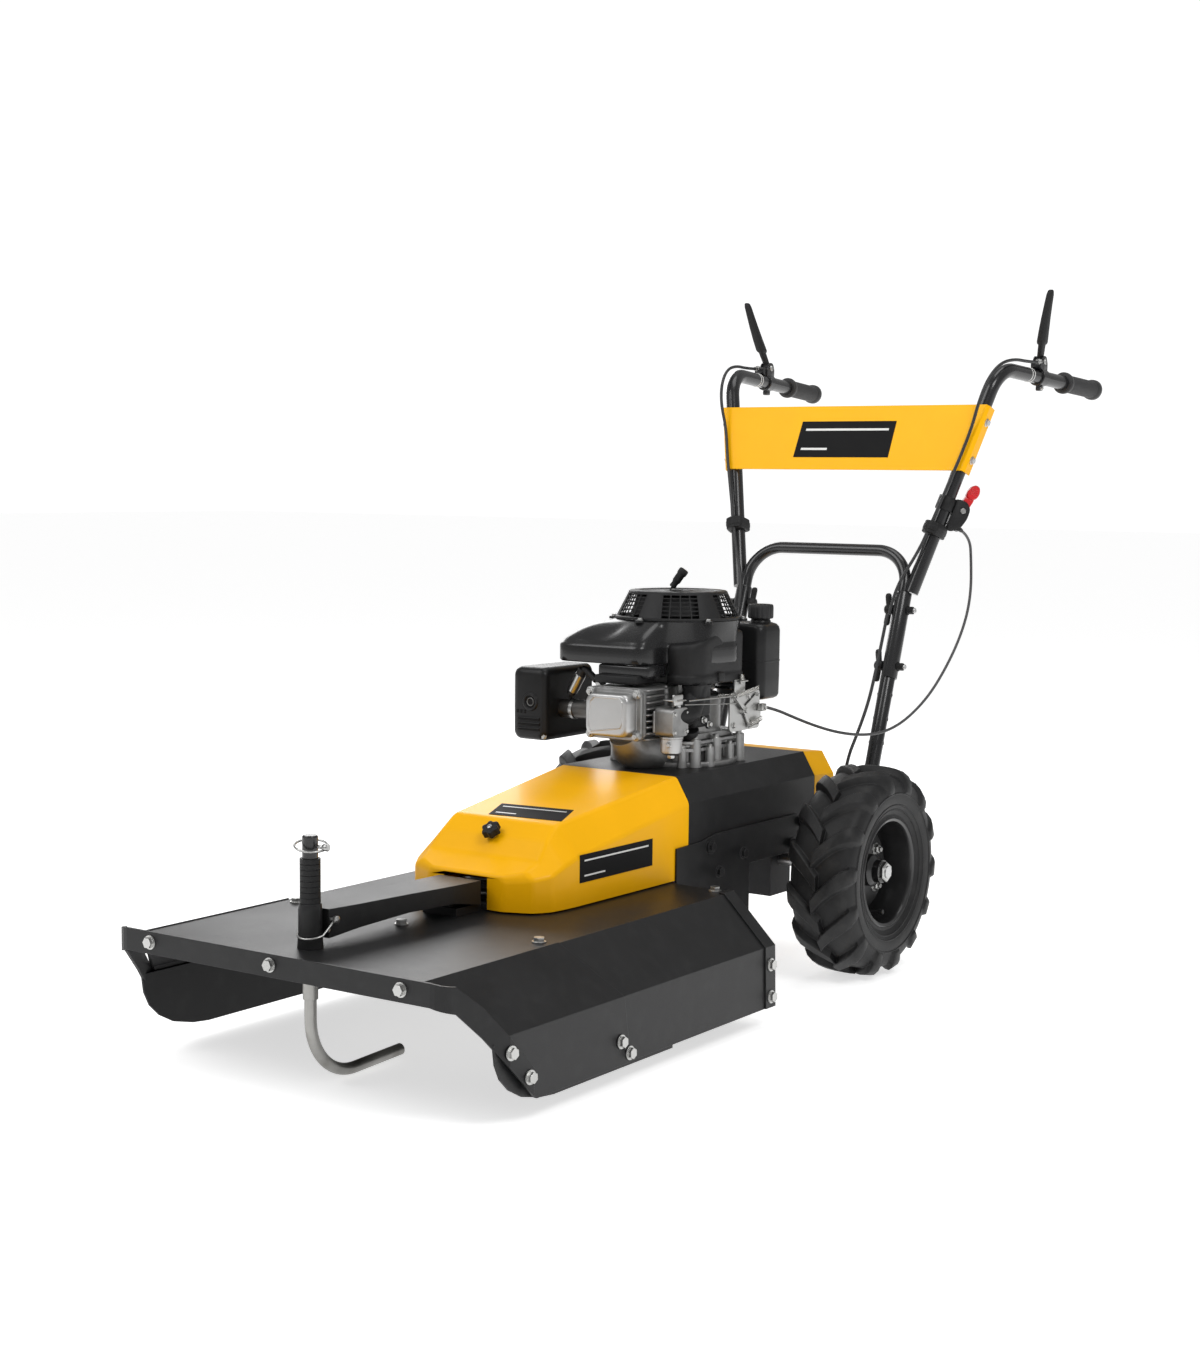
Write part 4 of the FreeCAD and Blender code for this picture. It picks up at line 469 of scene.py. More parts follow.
# ------------------------------------------------------------------ floor and light
bm = bmesh.new()
bmesh.ops.create_grid(bm, x_segments=8, y_segments=8, size=30.0)
me = bpy.data.meshes.new("floor")
bm.to_mesh(me)
bm.free()
floor = bpy.data.objects.new("floor", me)
scene.collection.objects.link(floor)
floor.location = (0, 0, -0.001)
fm = surface("floor_pale", (0.90, 0.90, 0.90), 0.85, grain=30, bump=0.0, var=0.01, rough_var=0.02, spec=0.05)
fm.node_tree.nodes["Principled BSDF"].inputs["Emission Color"].default_value = (1.0, 1.0, 1.0, 1)
fm.node_tree.nodes["Principled BSDF"].inputs["Emission Strength"].default_value = 0.62
me.materials.append(fm)

scene.view_settings.view_transform = "Standard"
world = bpy.data.worlds.new("studio")
scene.world = world
world.use_nodes = True
bg = world.node_tree.nodes["Background"]
bg.inputs[0].default_value = (1.0, 1.0, 1.0, 1)
bg.inputs[1].default_value = 0.40
seen = world.node_tree.nodes.new("ShaderNodeBackground")
seen.inputs[0].default_value = (1.0, 1.0, 1.0, 1)
seen.inputs[1].default_value = 1.1
path = world.node_tree.nodes.new("ShaderNodeLightPath")
both = world.node_tree.nodes.new("ShaderNodeMixShader")
world.node_tree.links.new(path.outputs["Is Camera Ray"], both.inputs[0])
world.node_tree.links.new(bg.outputs[0], both.inputs[1])
world.node_tree.links.new(seen.outputs[0], both.inputs[2])
world.node_tree.links.new(both.outputs[0], world.node_tree.nodes["World Output"].inputs["Surface"])


def area(name, loc, target, size, power, size_y=None):
    l = bpy.data.lights.new(name, "AREA")
    l.energy = power
    l.shape = "RECTANGLE"
    l.size = size
    l.size_y = size_y or size
    o = bpy.data.objects.new(name, l)
    scene.collection.objects.link(o)
    o.location = loc
    d = (Vector(target) - Vector(loc)).normalized()
    o.rotation_euler = d.to_track_quat("-Z", "Y").to_euler()
    return o


area("key", (-1.6, -2.6, 3.2), (0, 0, 0.3), 2.2, 56)
area("fill", (2.3, -1.2, 2.9), (0, -0.3, 0.2), 1.2, 34)
area("top", (0.3, 0.6, 3.4), (0, 0, 0.3), 1.6, 20)
area("rim", (-2.4, 2.2, 1.8), (0, 0, 0.5), 1.6, 30)

# ------------------------------------------------------------------ belt hood: pressed sheet with rounded folds
EY = -168.0
H = [(-711, 66, 232, 58, 239.5), (-694, 106, 236, 92, 246), (-670, 121, 240, 96, 257), (-646, 124, 250, 93, 283), (-620, 126, 258, 91, 303), (-333, 130, 303, 107, 341)]
bm = bmesh.new()
rows = []
for y, wd, zs, wt, zt in H:
    rows.append([bm.verts.new(mm(x, y, z)) for x, z in ((-wd, 189.6), (-wd, zs), (-wt, zt), (wt, zt), (wd, zs), (wd, 189.6))])
for r0, r1 in zip(rows[:-1], rows[1:]):
    for i in range(5):
        bm.faces.new((r0[i], r0[i + 1], r1[i + 1], r1[i]))
notch = [bm.verts.new(mm(x, -711, z)) for x, z in ((38.5, 189.6), (38.5, 235.5), (-38.5, 235.5), (-38.5, 189.6))]
bm.faces.new(rows[0] + notch)
bmesh.ops.recalc_face_normals(bm, faces=bm.faces[:])
c = sum((f.normal.z for f in bm.faces))
if c < 0:
    bmesh.ops.reverse_faces(bm, faces=bm.faces[:])
me = bpy.data.meshes.new("hood_sheet")
bm.to_mesh(me)
bm.free()
me.materials.append(M["panel_yellow"])
for p in me.polygons:
    p.use_smooth = True
hood = bpy.data.objects.new("hood_sheet", me)
scene.collection.objects.link(hood)
md = hood.modifiers.new("folds", "BEVEL")
md.width = 0.0065
md.segments = 5
md.limit_method = "ANGLE"
md.angle_limit = math.radians(9)
md = hood.modifiers.new("sheet", "SOLIDIFY")
md.thickness = 0.0026
md.offset = -1.0
md = hood.modifiers.new("shade", "WEIGHTED_NORMAL")
md.keep_sharp = True
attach(hood, "hood")
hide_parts("hood")


def plate(name, corners, normal, body, lift=0.25, thick=0.25, stripe=True):
    """Plain dark decal on a flat panel with a thin pale line near one end."""
    p = Piece(name)
    n_ = Vector(normal).normalized()
    cs = [Vector(c_) for c_ in corners]

    def at(u, v, h):
        a = cs[0].lerp(cs[1], u)
        b = cs[3].lerp(cs[2], u)
        return a.lerp(b, v) + n_ * h

    def slab(u0, v0, u1, v1, h0, h1, m, steps=6):
        ring = []
        r = 0.0
        for (u, v) in ((u0, v0), (u1, v0), (u1, v1), (u0, v1)):
            ring.append((u, v))
        lo = [tuple(at(u, v, h0)) for u, v in ring]
        hi = [tuple(at(u, v, h1)) for u, v in ring]
        p.loft([lo, hi], m, smooth=False)

    slab(0, 0, 1, 1, lift - 0.2, lift + thick, "dark_print_and_painted_shade")
    if stripe:
        slab(0.06, 0.74, 0.94, 0.80, lift + thick, lift + thick + 0.06, "decal_light")
        slab(0.06, 0.20, 0.34, 0.26, lift + thick, lift + thick + 0.06, "decal_light")
    return p.object(body, "plastic_black", weld=False)


def hood_top(x, y):
    return (x, y, 303.0 + (y + 620.0) * 38.0 / 287.0)


def hood_side(u, z):
    """A point on the hood's upright left side, u along it from the front corner."""
    x0, x1 = 126.0 + (130.0 - 126.0) * (u + 620.0) / 287.0, 0
    return (x0, u, z)


hn = (0, -0.13126, 0.99135)
plate("hood_top_plate", [hood_top(-36, -612), hood_top(88, -604), hood_top(70, -548), hood_top(-54, -556)], hn, "hood")
plate("hood_side_plate", [hood_side(-612, 222), hood_side(-430, 222), hood_side(-430, 262), hood_side(-612, 262)], (1, -0.014, 0), "hood")


# dark rope drum seen through the guard's windows
p = Piece("starter_drum")
p.disc_caps([(0, 0), (70, 0), (74, 1.5), (66, 31), (60, 33), (0, 33)], (0, EY, 573.5), (0, 0, 1), "rubber", 64)
p.object("frame", "rubber")


# hood knob: round boss with six lobes
kn = Vector((0, -0.62, 0.785)).normalized()
kc = Vector((0, -646.5, 283.5))
p = Piece("hood_knob_moulding")
ex_, ey_ = Vector((1, 0, 0)), kn.cross(Vector((1, 0, 0)))
secs = []
for h, k in ((3.1, 0.86), (4.2, 1.0), (12.5, 1.0), (14.6, 0.93), (15.4, 0.72), (15.2, 0.40)):
    ring = []
    for i in range(72):
        a = 2 * math.pi * i / 72
        r = (12.6 + 1.5 * math.cos(6 * a)) * k if k > 0.5 else 12.0 * k
        q = kc + kn * h + ex_ * (r * math.cos(a)) + ey_ * (r * math.sin(a))
        ring.append(tuple(q))
    secs.append(ring)
p.loft(secs, "plastic_black")
p.disc_caps([(0, 0), (3.6, 0), (3.6, 1.6), (3.0, 2.0), (0, 2.0)], tuple(kc + kn * 15.0), tuple(kn), "zinc", 24)
p.rod(tuple(kc - kn * 13.5), tuple(kc + kn * 3.4), 4.9, "zinc", 24)
p.object("hood_knob", "plastic_black", "hood_knob")


# ------------------------------------------------------------------ engine shrouds
def star(poly, n, soften=3):
    """Radii of a star-shaped outline at n even angles, softened at its corners."""
    out = []
    for i in range(n):
        t = 2 * math.pi * i / n
        d = Vector((math.cos(t), math.sin(t)))
        best = None
        for k in range(len(poly)):
            a, b = Vector(poly[k]), Vector(poly[(k + 1) % len(poly)])
            e = b - a
            den = d.x * e.y - d.y * e.x
            if abs(den) < 1e-9:
                continue
            s = (a.x * e.y - a.y * e.x) / den
            w = (a.x * d.y - a.y * d.x) / den
            if s > 0 and -1e-6 <= w <= 1 + 1e-6:
                best = s if best is None else max(best, s)
        out.append(best)
    for _ in range(soften):
        out = [(out[i - 1] + 2 * out[i] + out[(i + 1) % n]) / 4 for i in range(n)]
    return out


NB = 144
BH = [(-134, -138), (-120, -152), (24, -152), (36, -140), (36, -96), (92, -60), (98, 20), (70, 78), (20, 100), (-60, 96), (-104, 60), (-134, -20)]
rb = star(BH, NB, 2)


def ring_at(radii, z, k=1.0, cx=0.0, cy=0.0):
    out = []
    n = len(radii)
    for i, r in enumerate(radii):
        t = 2 * math.pi * i / n
        zz = z(t, r) if callable(z) else z
        out.append((cx + (r * math.cos(t) - cx) * k, EY + cy + (r * math.sin(t) - cy) * k, zz))
    return out


p = Piece("blower_shroud")
secs = [ring_at(rb, 509, 0.93), ring_at(rb, 503.5, 0.955), ring_at(rb, 503.2, 0.985), ring_at(rb, 505.5, 1.0), ring_at(rb, 515, 1.0), ring_at(rb, 527, 1.0), ring_at(rb, 530.5, 0.994), ring_at(rb, 532.6, 0.978)]
for k in range(1, 15):
    t = k / 14.0
    f = t ** 1.12
    zz = 532.6 + 35.5 * (t ** 0.80)

    def ridge(a, r, t=t, zz=zz):
        # raised shoulder over the front left and a shallow channel beside it
        s = math.exp(-((a - math.radians(232)) / 0.16) ** 2) * 5.0 - math.exp(-((a - math.radians(252)) / 0.12) ** 2) * 3.5
        return zz + s * math.sin(math.pi * min(1.0, t * 1.05))

    radii = [r0 * 0.978 * (1 - f) + 100.2 * f for r0 in rb]
    secs.append(ring_at(radii, ridge))
secs.append(ring_at([98.5] * NB, 568.6))
secs.append(ring_at([92.0] * NB, 568.2))
secs.append(ring_at([91.0] * NB, 560.0))
p.loft(secs, "engine_black", cap=False)
for a in (28, 95, 150, 205, 268, 330):
    t = math.radians(a)
    p.disc_caps([(0, 0), (7.5, 0), (7.5, 3.4), (6.6, 4.4), (0, 4.4)], (103 * math.cos(t), EY + 103 * math.sin(t), 565.6), (0, 0, 1), "engine_black", 24)
    p.hexbolt((103 * math.cos(t), EY + 103 * math.sin(t), 569.6), (0, 0, 1), "zinc", 4.0, 3.0, 5.0, 0.7)
p.object("frame", "engine_black", "blower_housing", sharp=50)

p = Piece("air_filter_cover_moulding")
AF = [(38, -94), (62, -98), (84, -88), (93, -66), (94, 46), (88, 56), (46, 56), (38, 40)]
ra_ = star([(x - 66, y + 20) for x, y in AF], 120, 3)


def af_ring(z, k=1.0, grow=0.0):
    out = []
    for i, r in enumerate(ra_):
        t = 2 * math.pi * i / 120
        rr = (r + grow) * k
        x, y = 66 + rr * math.cos(t), -20 + rr * math.sin(t)
        zz = z(y) if callable(z) else z
        out.append((x, EY + y, zz))
    return out


def top(y, lift=0.0):
    s = max(0.0, min(1.0, (y + 92) / 80.0))
    return 533.0 + 17.0 * s * s * (3 - 2 * s) + lift


secs = [af_ring(474, 0.94), af_ring(472.3, 0.985, 0.5), af_ring(473.5, 1.0, 1.4), af_ring(483, 1.0, 1.4), af_ring(485.4, 1.0, 0.4), af_ring(487.0, 1.0, -1.2), af_ring(490.0, 1.0, -0.6), af_ring(515, 1.0, -0.2),
        af_ring(lambda y: top(y, -8)), af_ring(lambda y: top(y, -2.6), 0.988), af_ring(lambda y: top(y, 0.3), 0.955), af_ring(lambda y: top(y, 1.4), 0.90), af_ring(lambda y: top(y, 2.2), 0.70), af_ring(lambda y: top(y, 2.8), 0.4), af_ring(lambda y: top(y, 3.0), 0.08)]
p.loft(secs, "plastic_black")
p.block((88, EY - 30, 474), (97.4, EY - 12, 489), "plastic_black", 1.6)
p.object("frame", "plastic_black", "air_filter_cover", sharp=60)

# ------------------------------------------------------------------ starter guard: cone with six grilles
GB, GT, GZ, GH = 99.0, 78.0, 569.0, 44.0
p = Piece("starter_guard")


def cone(deg, t, off=0.0):
    r = (GB - 2.0) * (1 - t) + GT * t + off
    a = math.radians(deg)
    return (r * math.cos(a), EY + r * math.sin(a), GZ + 3.0 + (GH - 6.5) * t)


p.lathe([(GB - 7, 569.1), (GB + 1, 569.1), (GB + 1.2, 572.2), (GB + 0.2, 573.0), (GB - 3.5, 573.4), (GB - 7, 573.4)], (0, EY, 0), (0, 0, 1), "plastic_black", 96)
p.lathe([(GT - 4, 608.4), (GT + 0.8, 608.2), (GT + 0.4, 611.2), (GT - 1.8, 612.9), (60, 613.0), (58, 611.9), (24, 611.9), (22, 613.0), (11, 613.0), (9.5, 612.0), (9.5, 610.2), (60, 609.6)], (0, EY, 0), (0, 0, 1), "plastic_black", 96)
for k in range(6):
    c0 = 60 * k + 5.0
    # solid rib between two grilles
    a0, a1 = c0 + 19.5, c0 + 40.5
    outer_, inner_ = [], []
    secs = []
    for i in range(7):
        t = i / 6
        widen = 1.5 * (1 - t)
        ring = []
        for j in range(7):
            ring.append(cone(a0 - widen + (a1 - a0 + 2 * widen) * j / 6, t, 0.8 if 0 < j < 6 else 0.0))
        for j in range(6, -1, -1):
            ring.append(cone(a0 - widen + (a1 - a0 + 2 * widen) * j / 6, t, -2.4))
        secs.append(ring)
    p.loft(secs, "plastic_black")
    for i in range(1, 6):
        t = i / 6.0
        p.tube([cone(c0 - 20.5 + 41.0 * j / 8, t, -1.4) for j in range(9)], 0.95, "plastic_black", 6)
    for d in (-10.5, 0.0, 10.5):
        p.tube([cone(c0 + d, t / 4.0, -0.6) for t in range(5)], 1.15, "plastic_black", 6)
p.object("frame", "plastic_black", "recoil_guard", sharp=45)

# pull grip, and the rope that leaves the guard with it
pd = Vector((0.45, 0.35, 0.82)).normalized()
g0 = Vector((-8, EY - 6, 617.2))
p = Piece("pull_grip")
p.disc_caps([(0, 0.3), (4.6, 0.3), (5.6, 1.6), (5.2, 8), (6.0, 10.5), (6.8, 12), (6.8, 24), (7.9, 26), (8.0, 32), (7.2, 34.2), (4, 35), (0, 35)], tuple(g0), tuple(pd), "plastic_black", 40)
sx_ = pd.cross(Vector((0, 0, 1))).normalized()
for s_ in (-1, 1):
    for k in range(5):
        p.rod(tuple(g0 + pd * (13 + 2.6 * k) + sx_ * (s_ * 5.9)), tuple(g0 + pd * (13 + 2.6 * k) + sx_ * (s_ * 7.0)), 1.0, "plastic_black", 8)
p.object("recoil_grip", "plastic_black", "recoil_grip")
bm = bmesh.new()
r0 = g0 - pd * 12.0
side_a = pd.cross(Vector((0, 0, 1))).normalized()
side_b = pd.cross(side_a)
prev = None
for i in range(97):
    c_ = r0 + pd * (12.8 * i / 96)
    ring = []
    for k in range(12):
        a = 2 * math.pi * k / 12 + i * 0.35
        rr = 1.7 + 0.18 * math.cos(3 * (2 * math.pi * k / 12))
        q = c_ + side_a * (rr * math.cos(a)) + side_b * (rr * math.sin(a))
        ring.append(bm.verts.new(mm(*q)))
    if prev:
        for k in range(12):
            f = bm.faces.new((prev[k], prev[(k + 1) % 12], ring[(k + 1) % 12], ring[k]))
            f.smooth = True
    prev = ring
me = bpy.data.meshes.new("starter_rope")
bmesh.ops.recalc_face_normals(bm, faces=bm.faces[:])
bm.to_mesh(me)
bm.free()
me.materials.append(M["cable_grey"])
rope = bpy.data.objects.new("starter_rope", me)
scene.collection.objects.link(rope)
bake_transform(rope)


# ------------------------------------------------------------------ fuel tank and cap
def rrect(x0, x1, y0, y1, r, n=9):
    """Rounded rectangle, corner by corner."""
    out = []
    for cx, cy, a0 in ((x1 - r, y0 + r, -90), (x1 - r, y1 - r, 0), (x0 + r, y1 - r, 90), (x0 + r, y0 + r, 180)):
        for i in range(n):
            a = math.radians(a0 + 90 * i / (n - 1))
            out.append((cx + r * math.cos(a), cy + r * math.sin(a)))
    return out


p = Piece("fuel_tank_moulding")
secs = []
for z, k, r in ((434.2, 14, 10), (434.8, 7, 12), (437.5, 2.5, 14), (442, 0.4, 15), (470, 0.0, 15), (520, 0, 15), (545, 0, 15), (551.5, 1.2, 15), (555.8, 4.5, 14), (558.0, 10, 12), (558.5, 20, 8)):
    secs.append([(x, y, z) for x, y in rrect(6 + k, 97 - k, -68 + k, 0 - k, r)])
p.loft(secs, "tank_plastic")
# moulded seam and a strap recess
p.loft([[(x, y, z) for x, y in rrect(5.4, 97.6, -68.6, 0.6, 15.5)] for z in (495.4, 497.6)], "tank_plastic")
p.disc_caps([(0, 0), (17, 0), (16.6, 3), (15.5, 4), (15.5, 5.9), (0, 5.9)], (70, -28, 558.0), (0, 0, 1), "tank_plastic", 48)
p.block((12, -100, 452.4), (58, -67.6, 457.6), "tank_plastic", 1.2)
p.block((20, -72, 540), (44, -66, 556), "tank_plastic", 2.0)
p.object("frame", "tank_plastic", "fuel_tank", sharp=60)

p = Piece("fuel_cap_moulding")
secs = []
for z, k in ((564.5, 0.93), (565.6, 0.985), (567, 1.0), (582.5, 1.0), (585.6, 0.975), (587.2, 0.92), (587.5, 0.80), (585.9, 0.74), (585.7, 0.30)):
    ring = []
    for i in range(128):
        a = 2 * math.pi * i / 128
        sc = 0.9 * (0.5 - 0.5 * math.cos(16 * a)) ** 3
        r = (20.9 - (sc if k > 0.9 else 0)) * k
        ring.append((70 + r * math.cos(a), -28 + r * math.sin(a), z))
    secs.append(ring)
p.loft(secs, "cap_plastic")
p.block((53, -31.4, 585.4), (87, -24.6, 587.9), "cap_plastic", 1.4)
p.rod((70, -28, 542), (70, -28, 565), 5.9, "cap_plastic", 24)
p.object("fuel_cap", "cap_plastic", "fuel_cap", sharp=45)

# ------------------------------------------------------------------ silencer and its guard
p = Piece("silencer_guard")
y0, y1 = -339.5, -211.0


def mring(y, x0, x1, z0, z1, r):
    return [(a, y, b) for a, b in rrect(x0, x1, z0, z1, r)]


secs = [mring(-212, -199.6, -134.4, 376.0, 491.0, 13), mring(-300, -200, -134.2, 375.5, 491.5, 13), mring(-326, -200, -134.2, 375.5, 491.5, 13), mring(-333.5, -198.6, -135.4, 377, 490, 13), mring(-338.2, -194.5, -138.6, 381, 486.5, 11), mring(-339.6, -188, -143, 387.5, 480, 8)]
vs, fs = p.loft(secs, "muffler_metal", cap=False)
p.add([mm(*q) for q in mring(-339.6, -188, -143, 387.5, 480, 8)], [tuple(range(36))], "muffler_metal")
p.loft([mring(-212, -197.2, -136.8, 378.4, 488.6, 11), mring(-330, -197.2, -136.8, 378.4, 488.6, 11)], "muffler_metal", cap=False)
# outlet with its raised collar
p.lathe([(9.4, -3.5), (9.6, 1.6), (10.8, 2.6), (13.4, 2.6), (14.6, 1.2), (14.8, -0.6), (11, -0.6)], (-163, -339.6, 437), (0, -1, 0), "muffler_metal", 48)
# dark disc across the outlet: painted shade of the pipe's bore
p.disc_caps([(0, -1.0), (9.6, -1.0), (9.6, 0.25), (0, 0.25)], (-163, -339.7, 437), (0, -1, 0), "dark_print_and_painted_shade", 36)
p.lathe([(5.2, 0.2), (5.4, 1.4), (6.6, 1.4), (6.8, 0.2)], (-163, -339.7, 437), (0, -1, 0), "steel_dark", 32)
# dark strips under the louvre lips: painted shade in the slots
for k in range(3):
    z = 391 + 8.2 * k
    p.block((-187, -341.2, z), (-144.5, -338.6, z + 3.6), "dark_print_and_painted_shade", 0.9)
    p.block((-187.6, -342.4, z + 3.5), (-144, -339.0, z + 5.2), "muffler_metal", 0.7)
for k in range(3):
    p.block((-190.2 + 7 * k, -340.4, 418), (-186.2 + 7 * k, -339.2, 424), "dark_print_and_painted_shade", 0.4)
p.hexbolt((-140.5, -334.5, 383), (0.3, -0.95, 0), "zinc", 3.4, 2.4, 4.6, 0.6)
p.object("frame", "muffler_metal", "muffler_shield", sharp=50)

p = Piece("silencer")
p.loft([[(a, y, b) for a, b in rrect(-190 + k, -142 - k, 388 + k, 472 - k, 14)] for y, k in ((-324, 5), (-321, 1.2), (-316, 0), (-228, 0), (-223, 1.2), (-220, 5))], "steel_dark")
p.tube([(-144, -290, 425), (-120, -290, 425), (-96, -291, 426), (-72, -294, 427), (-58, -296, 427)], 14.6, "steel_dark", 28)
p.loft([[(x, a, b) for a, b in rrect(-316, -266, 398, 452, 9)] for x in (-58.2, -52.4)], "steel_dark", smooth=False)
for z in (406, 444):
    p.hexbolt((-58.4, -291, z), (-1, 0, 0), "zinc", 5.0, 4.5, 7, 1.2)
# heat crinkle clamps
p.lathe([(15.0, -3), (16.2, -3), (16.2, 3), (15.0, 3)], (-112, -290.4, 425.4), (1, 0, 0), "zinc", 40)
p.object("frame", "steel_dark", "muffler", sharp=45)

# spark plug boot: pale heat sleeve over a black elbow
p = Piece("plug_cap")
p.tube([(-116, -296, 450), (-109, -296.5, 461), (-98, -297.5, 479), (-91, -298, 490)], 8.2, "rubber", 24, radii=[7.4, 8.2, 8.2, 7.6])
a_, b_ = Vector((-113.5, -296.2, 454)), Vector((-96.5, -297.6, 481.5))
q_ = (b_ - a_)
p.disc_caps([(0, 0), (7.2, 0), (8.6, 0.8), (8.7, q_.length - 0.8), (7.4, q_.length), (0, q_.length)], tuple(a_), tuple(q_), "zinc", 36)
p.tube([(-91, -298, 490), (-84, -298.6, 489), (-74, -299.2, 481), (-65, -299.5, 474.5)], 5.6, "rubber", 20)
p.tube([(-116.5, -296, 449), (-120, -290, 438), (-116, -276, 430), (-100, -262, 440), (-84, -252, 462), (-78, -248, 490), (-80, -244, 504)], 3.1, "rubber", 12)
p.object("frame", "rubber", "plug_boot", sharp=50)

# ------------------------------------------------------------------ valve cover
p = Piece("valve_cover_casting")
fl = [(-37, 391.5), (41, 391.5), (51, 401), (51, 460), (42, 470), (-37, 470), (-47, 460), (-47, 401)]


def oct_ring(y, k, pts=fl, cx=2.0, cz=430.7):
    return [(cx + (x - cx) * k, y, cz + (z - cz) * k) for x, z in pts]


flange = rrect(-47, 51, 391.5, 470, 12, 9)
p.loft([[(x, y, z) for x, z in [(2 + (a - 2) * k, 430.7 + (b - 430.7) * k) for a, b in flange]] for y, k in ((-341.2, 0.99), (-342.0, 1.0), (-346.2, 1.0), (-347.4, 0.985))], "alloy")
dome = rrect(-39, 43, 396, 464, 15, 9)
secs = []
for y, k in ((-346.5, 1.0), (-352, 0.995), (-362, 0.975), (-366.5, 0.955), (-369.0, 0.915), (-370.0, 0.86), (-370.2, 0.78)):
    secs.append([(2 + (a - 2) * k, y, 430 + (b - 430) * k) for a, b in dome])
p.loft(secs, "alloy_light")
# raised frame on the dome's face, with one slanted side
fr = [(-26, 404), (28, 412), (32, 420), (32, 450), (26, 457), (-20, 457), (-27, 450), (-30, 412)]
path = []
for i in range(len(fr)):
    a, b = Vector(fr[i]), Vector(fr[(i + 1) % len(fr)])
    for k in range(4):
        q = a.lerp(b, k / 4)
        path.append((q.x, -370.3, q.y))
p.tube(path, 0.75, "alloy_light", 8, closed=True)
for x, z in ((-40.5, 398.5), (44.5, 398.5), (-40.5, 463), (44.5, 463)):
    p.disc_caps([(0, 0), (7.6, 0), (7.6, 5.5), (6.8, 6.6), (0, 6.6)], (x, -345.5, z), (0, -1, 0), "alloy", 28)
    p.hexbolt((x, -352.0, z), (0, -1, 0), "zinc", 4.8, 4.0, 6.2, 0.9)
    p.disc_caps([(0, 0), (2.0, 0), (2.0, 0.9), (0, 0.9)], (x, -356.8, z), (0, -1, 0), "zinc", 12)
p.object("frame", "alloy_light", "valve_cover", sharp=42)

# ------------------------------------------------------------------ carburettor, intake elbow and small engine parts
p = Piece("carburettor_and_elbow")
p.loft([[(x, a, b) for a, b in rrect(EY - 150, EY - 106, 397, 441, 8)] for x in (56.5, 89.5)], "alloy", smooth=False)
p.block((52.3, EY - 151, 402), (57, EY - 104, 436), "alloy", 2.5)
p.disc_caps([(0, 368), (11, 368), (16.4, 371.5), (17, 376), (17, 393), (18.4, 393.6), (18.4, 396.6), (0, 396.6)], (73, EY - 128, 0), (0, 0, 1), "alloy_light", 56)
p.disc_caps([(0, 362.3), (5.6, 362.3), (6.2, 363.4), (6.2, 368), (0, 368)], (73, EY - 128, 0), (0, 0, 1), "zinc", 6)
p.hexbolt((79, EY - 144.8, 385), (0.35, -0.94, 0), "zinc", 3.4, 3.2, 4.4, 0.6)
for y, z in ((-145, 432), (-112, 432), (-145, 404), (-112, 404)):
    p.hexbolt((89.4, EY + y, z), (1, 0, 0), "zinc", 3.2, 2.6, 4.2, 0.6)
# throttle shaft, arms and return spring above the body
p.rod((76, EY - 127, 440), (76, EY - 127, 460), 2.6, "zinc")
p.block((70, EY - 148, 452), (96, EY - 122, 454.2), "zinc", 0.9)
p.block((90, EY - 150, 446), (92.4, EY - 126, 462), "zinc", 0.9)
p.rod((84, EY - 127, 440), (84, EY - 127, 449), 4.2, "alloy_light", 24)
sp = [(76 + 4.6 * math.cos(t * 0.5), EY - 127 + 4.6 * math.sin(t * 0.5), 441.5 + 0.19 * t) for t in range(52)]
p.tube(sp, 0.62, "zinc", 6)
# moulded intake elbow
p.tube([(74, EY - 128, 428), (76, EY - 116, 428), (78, EY - 100, 426), (79, EY - 86, 430), (78, EY - 74, 446), (78, EY - 66, 464), (78, EY - 62, 473)], 15.5, "plastic_black", 32, radii=[15, 16.5, 17.5, 18.5, 18.0, 17.5, 17.5])
p.loft([[(x, y, z) for x, y in rrect(62 - g_, 93 + g_, EY - 86 - g_, EY - 44 + g_, 11)] for z, g_ in ((424, 0), (428, 1.2), (466, 1.2), (471.8, 2.4))], "plastic_black")
p.block((64, EY - 88, 405.7), (91, EY - 42, 426), "plastic_black", 6)
for y, z in ((-66, 417.5), (-50, 409.5)):
    p.disc_caps([(0, 0), (7.2, 0), (6.8, 3.0), (0, 3.0)], (89.4, EY + y, z), (1, 0, 0), "plastic_black", 28)
    p.hexbolt((92.2, EY + y, z), (1, 0, 0), "zinc", 4.2, 3.8, 5.6, 0.9)
p.object("frame", "alloy", "carburettor", sharp=45)

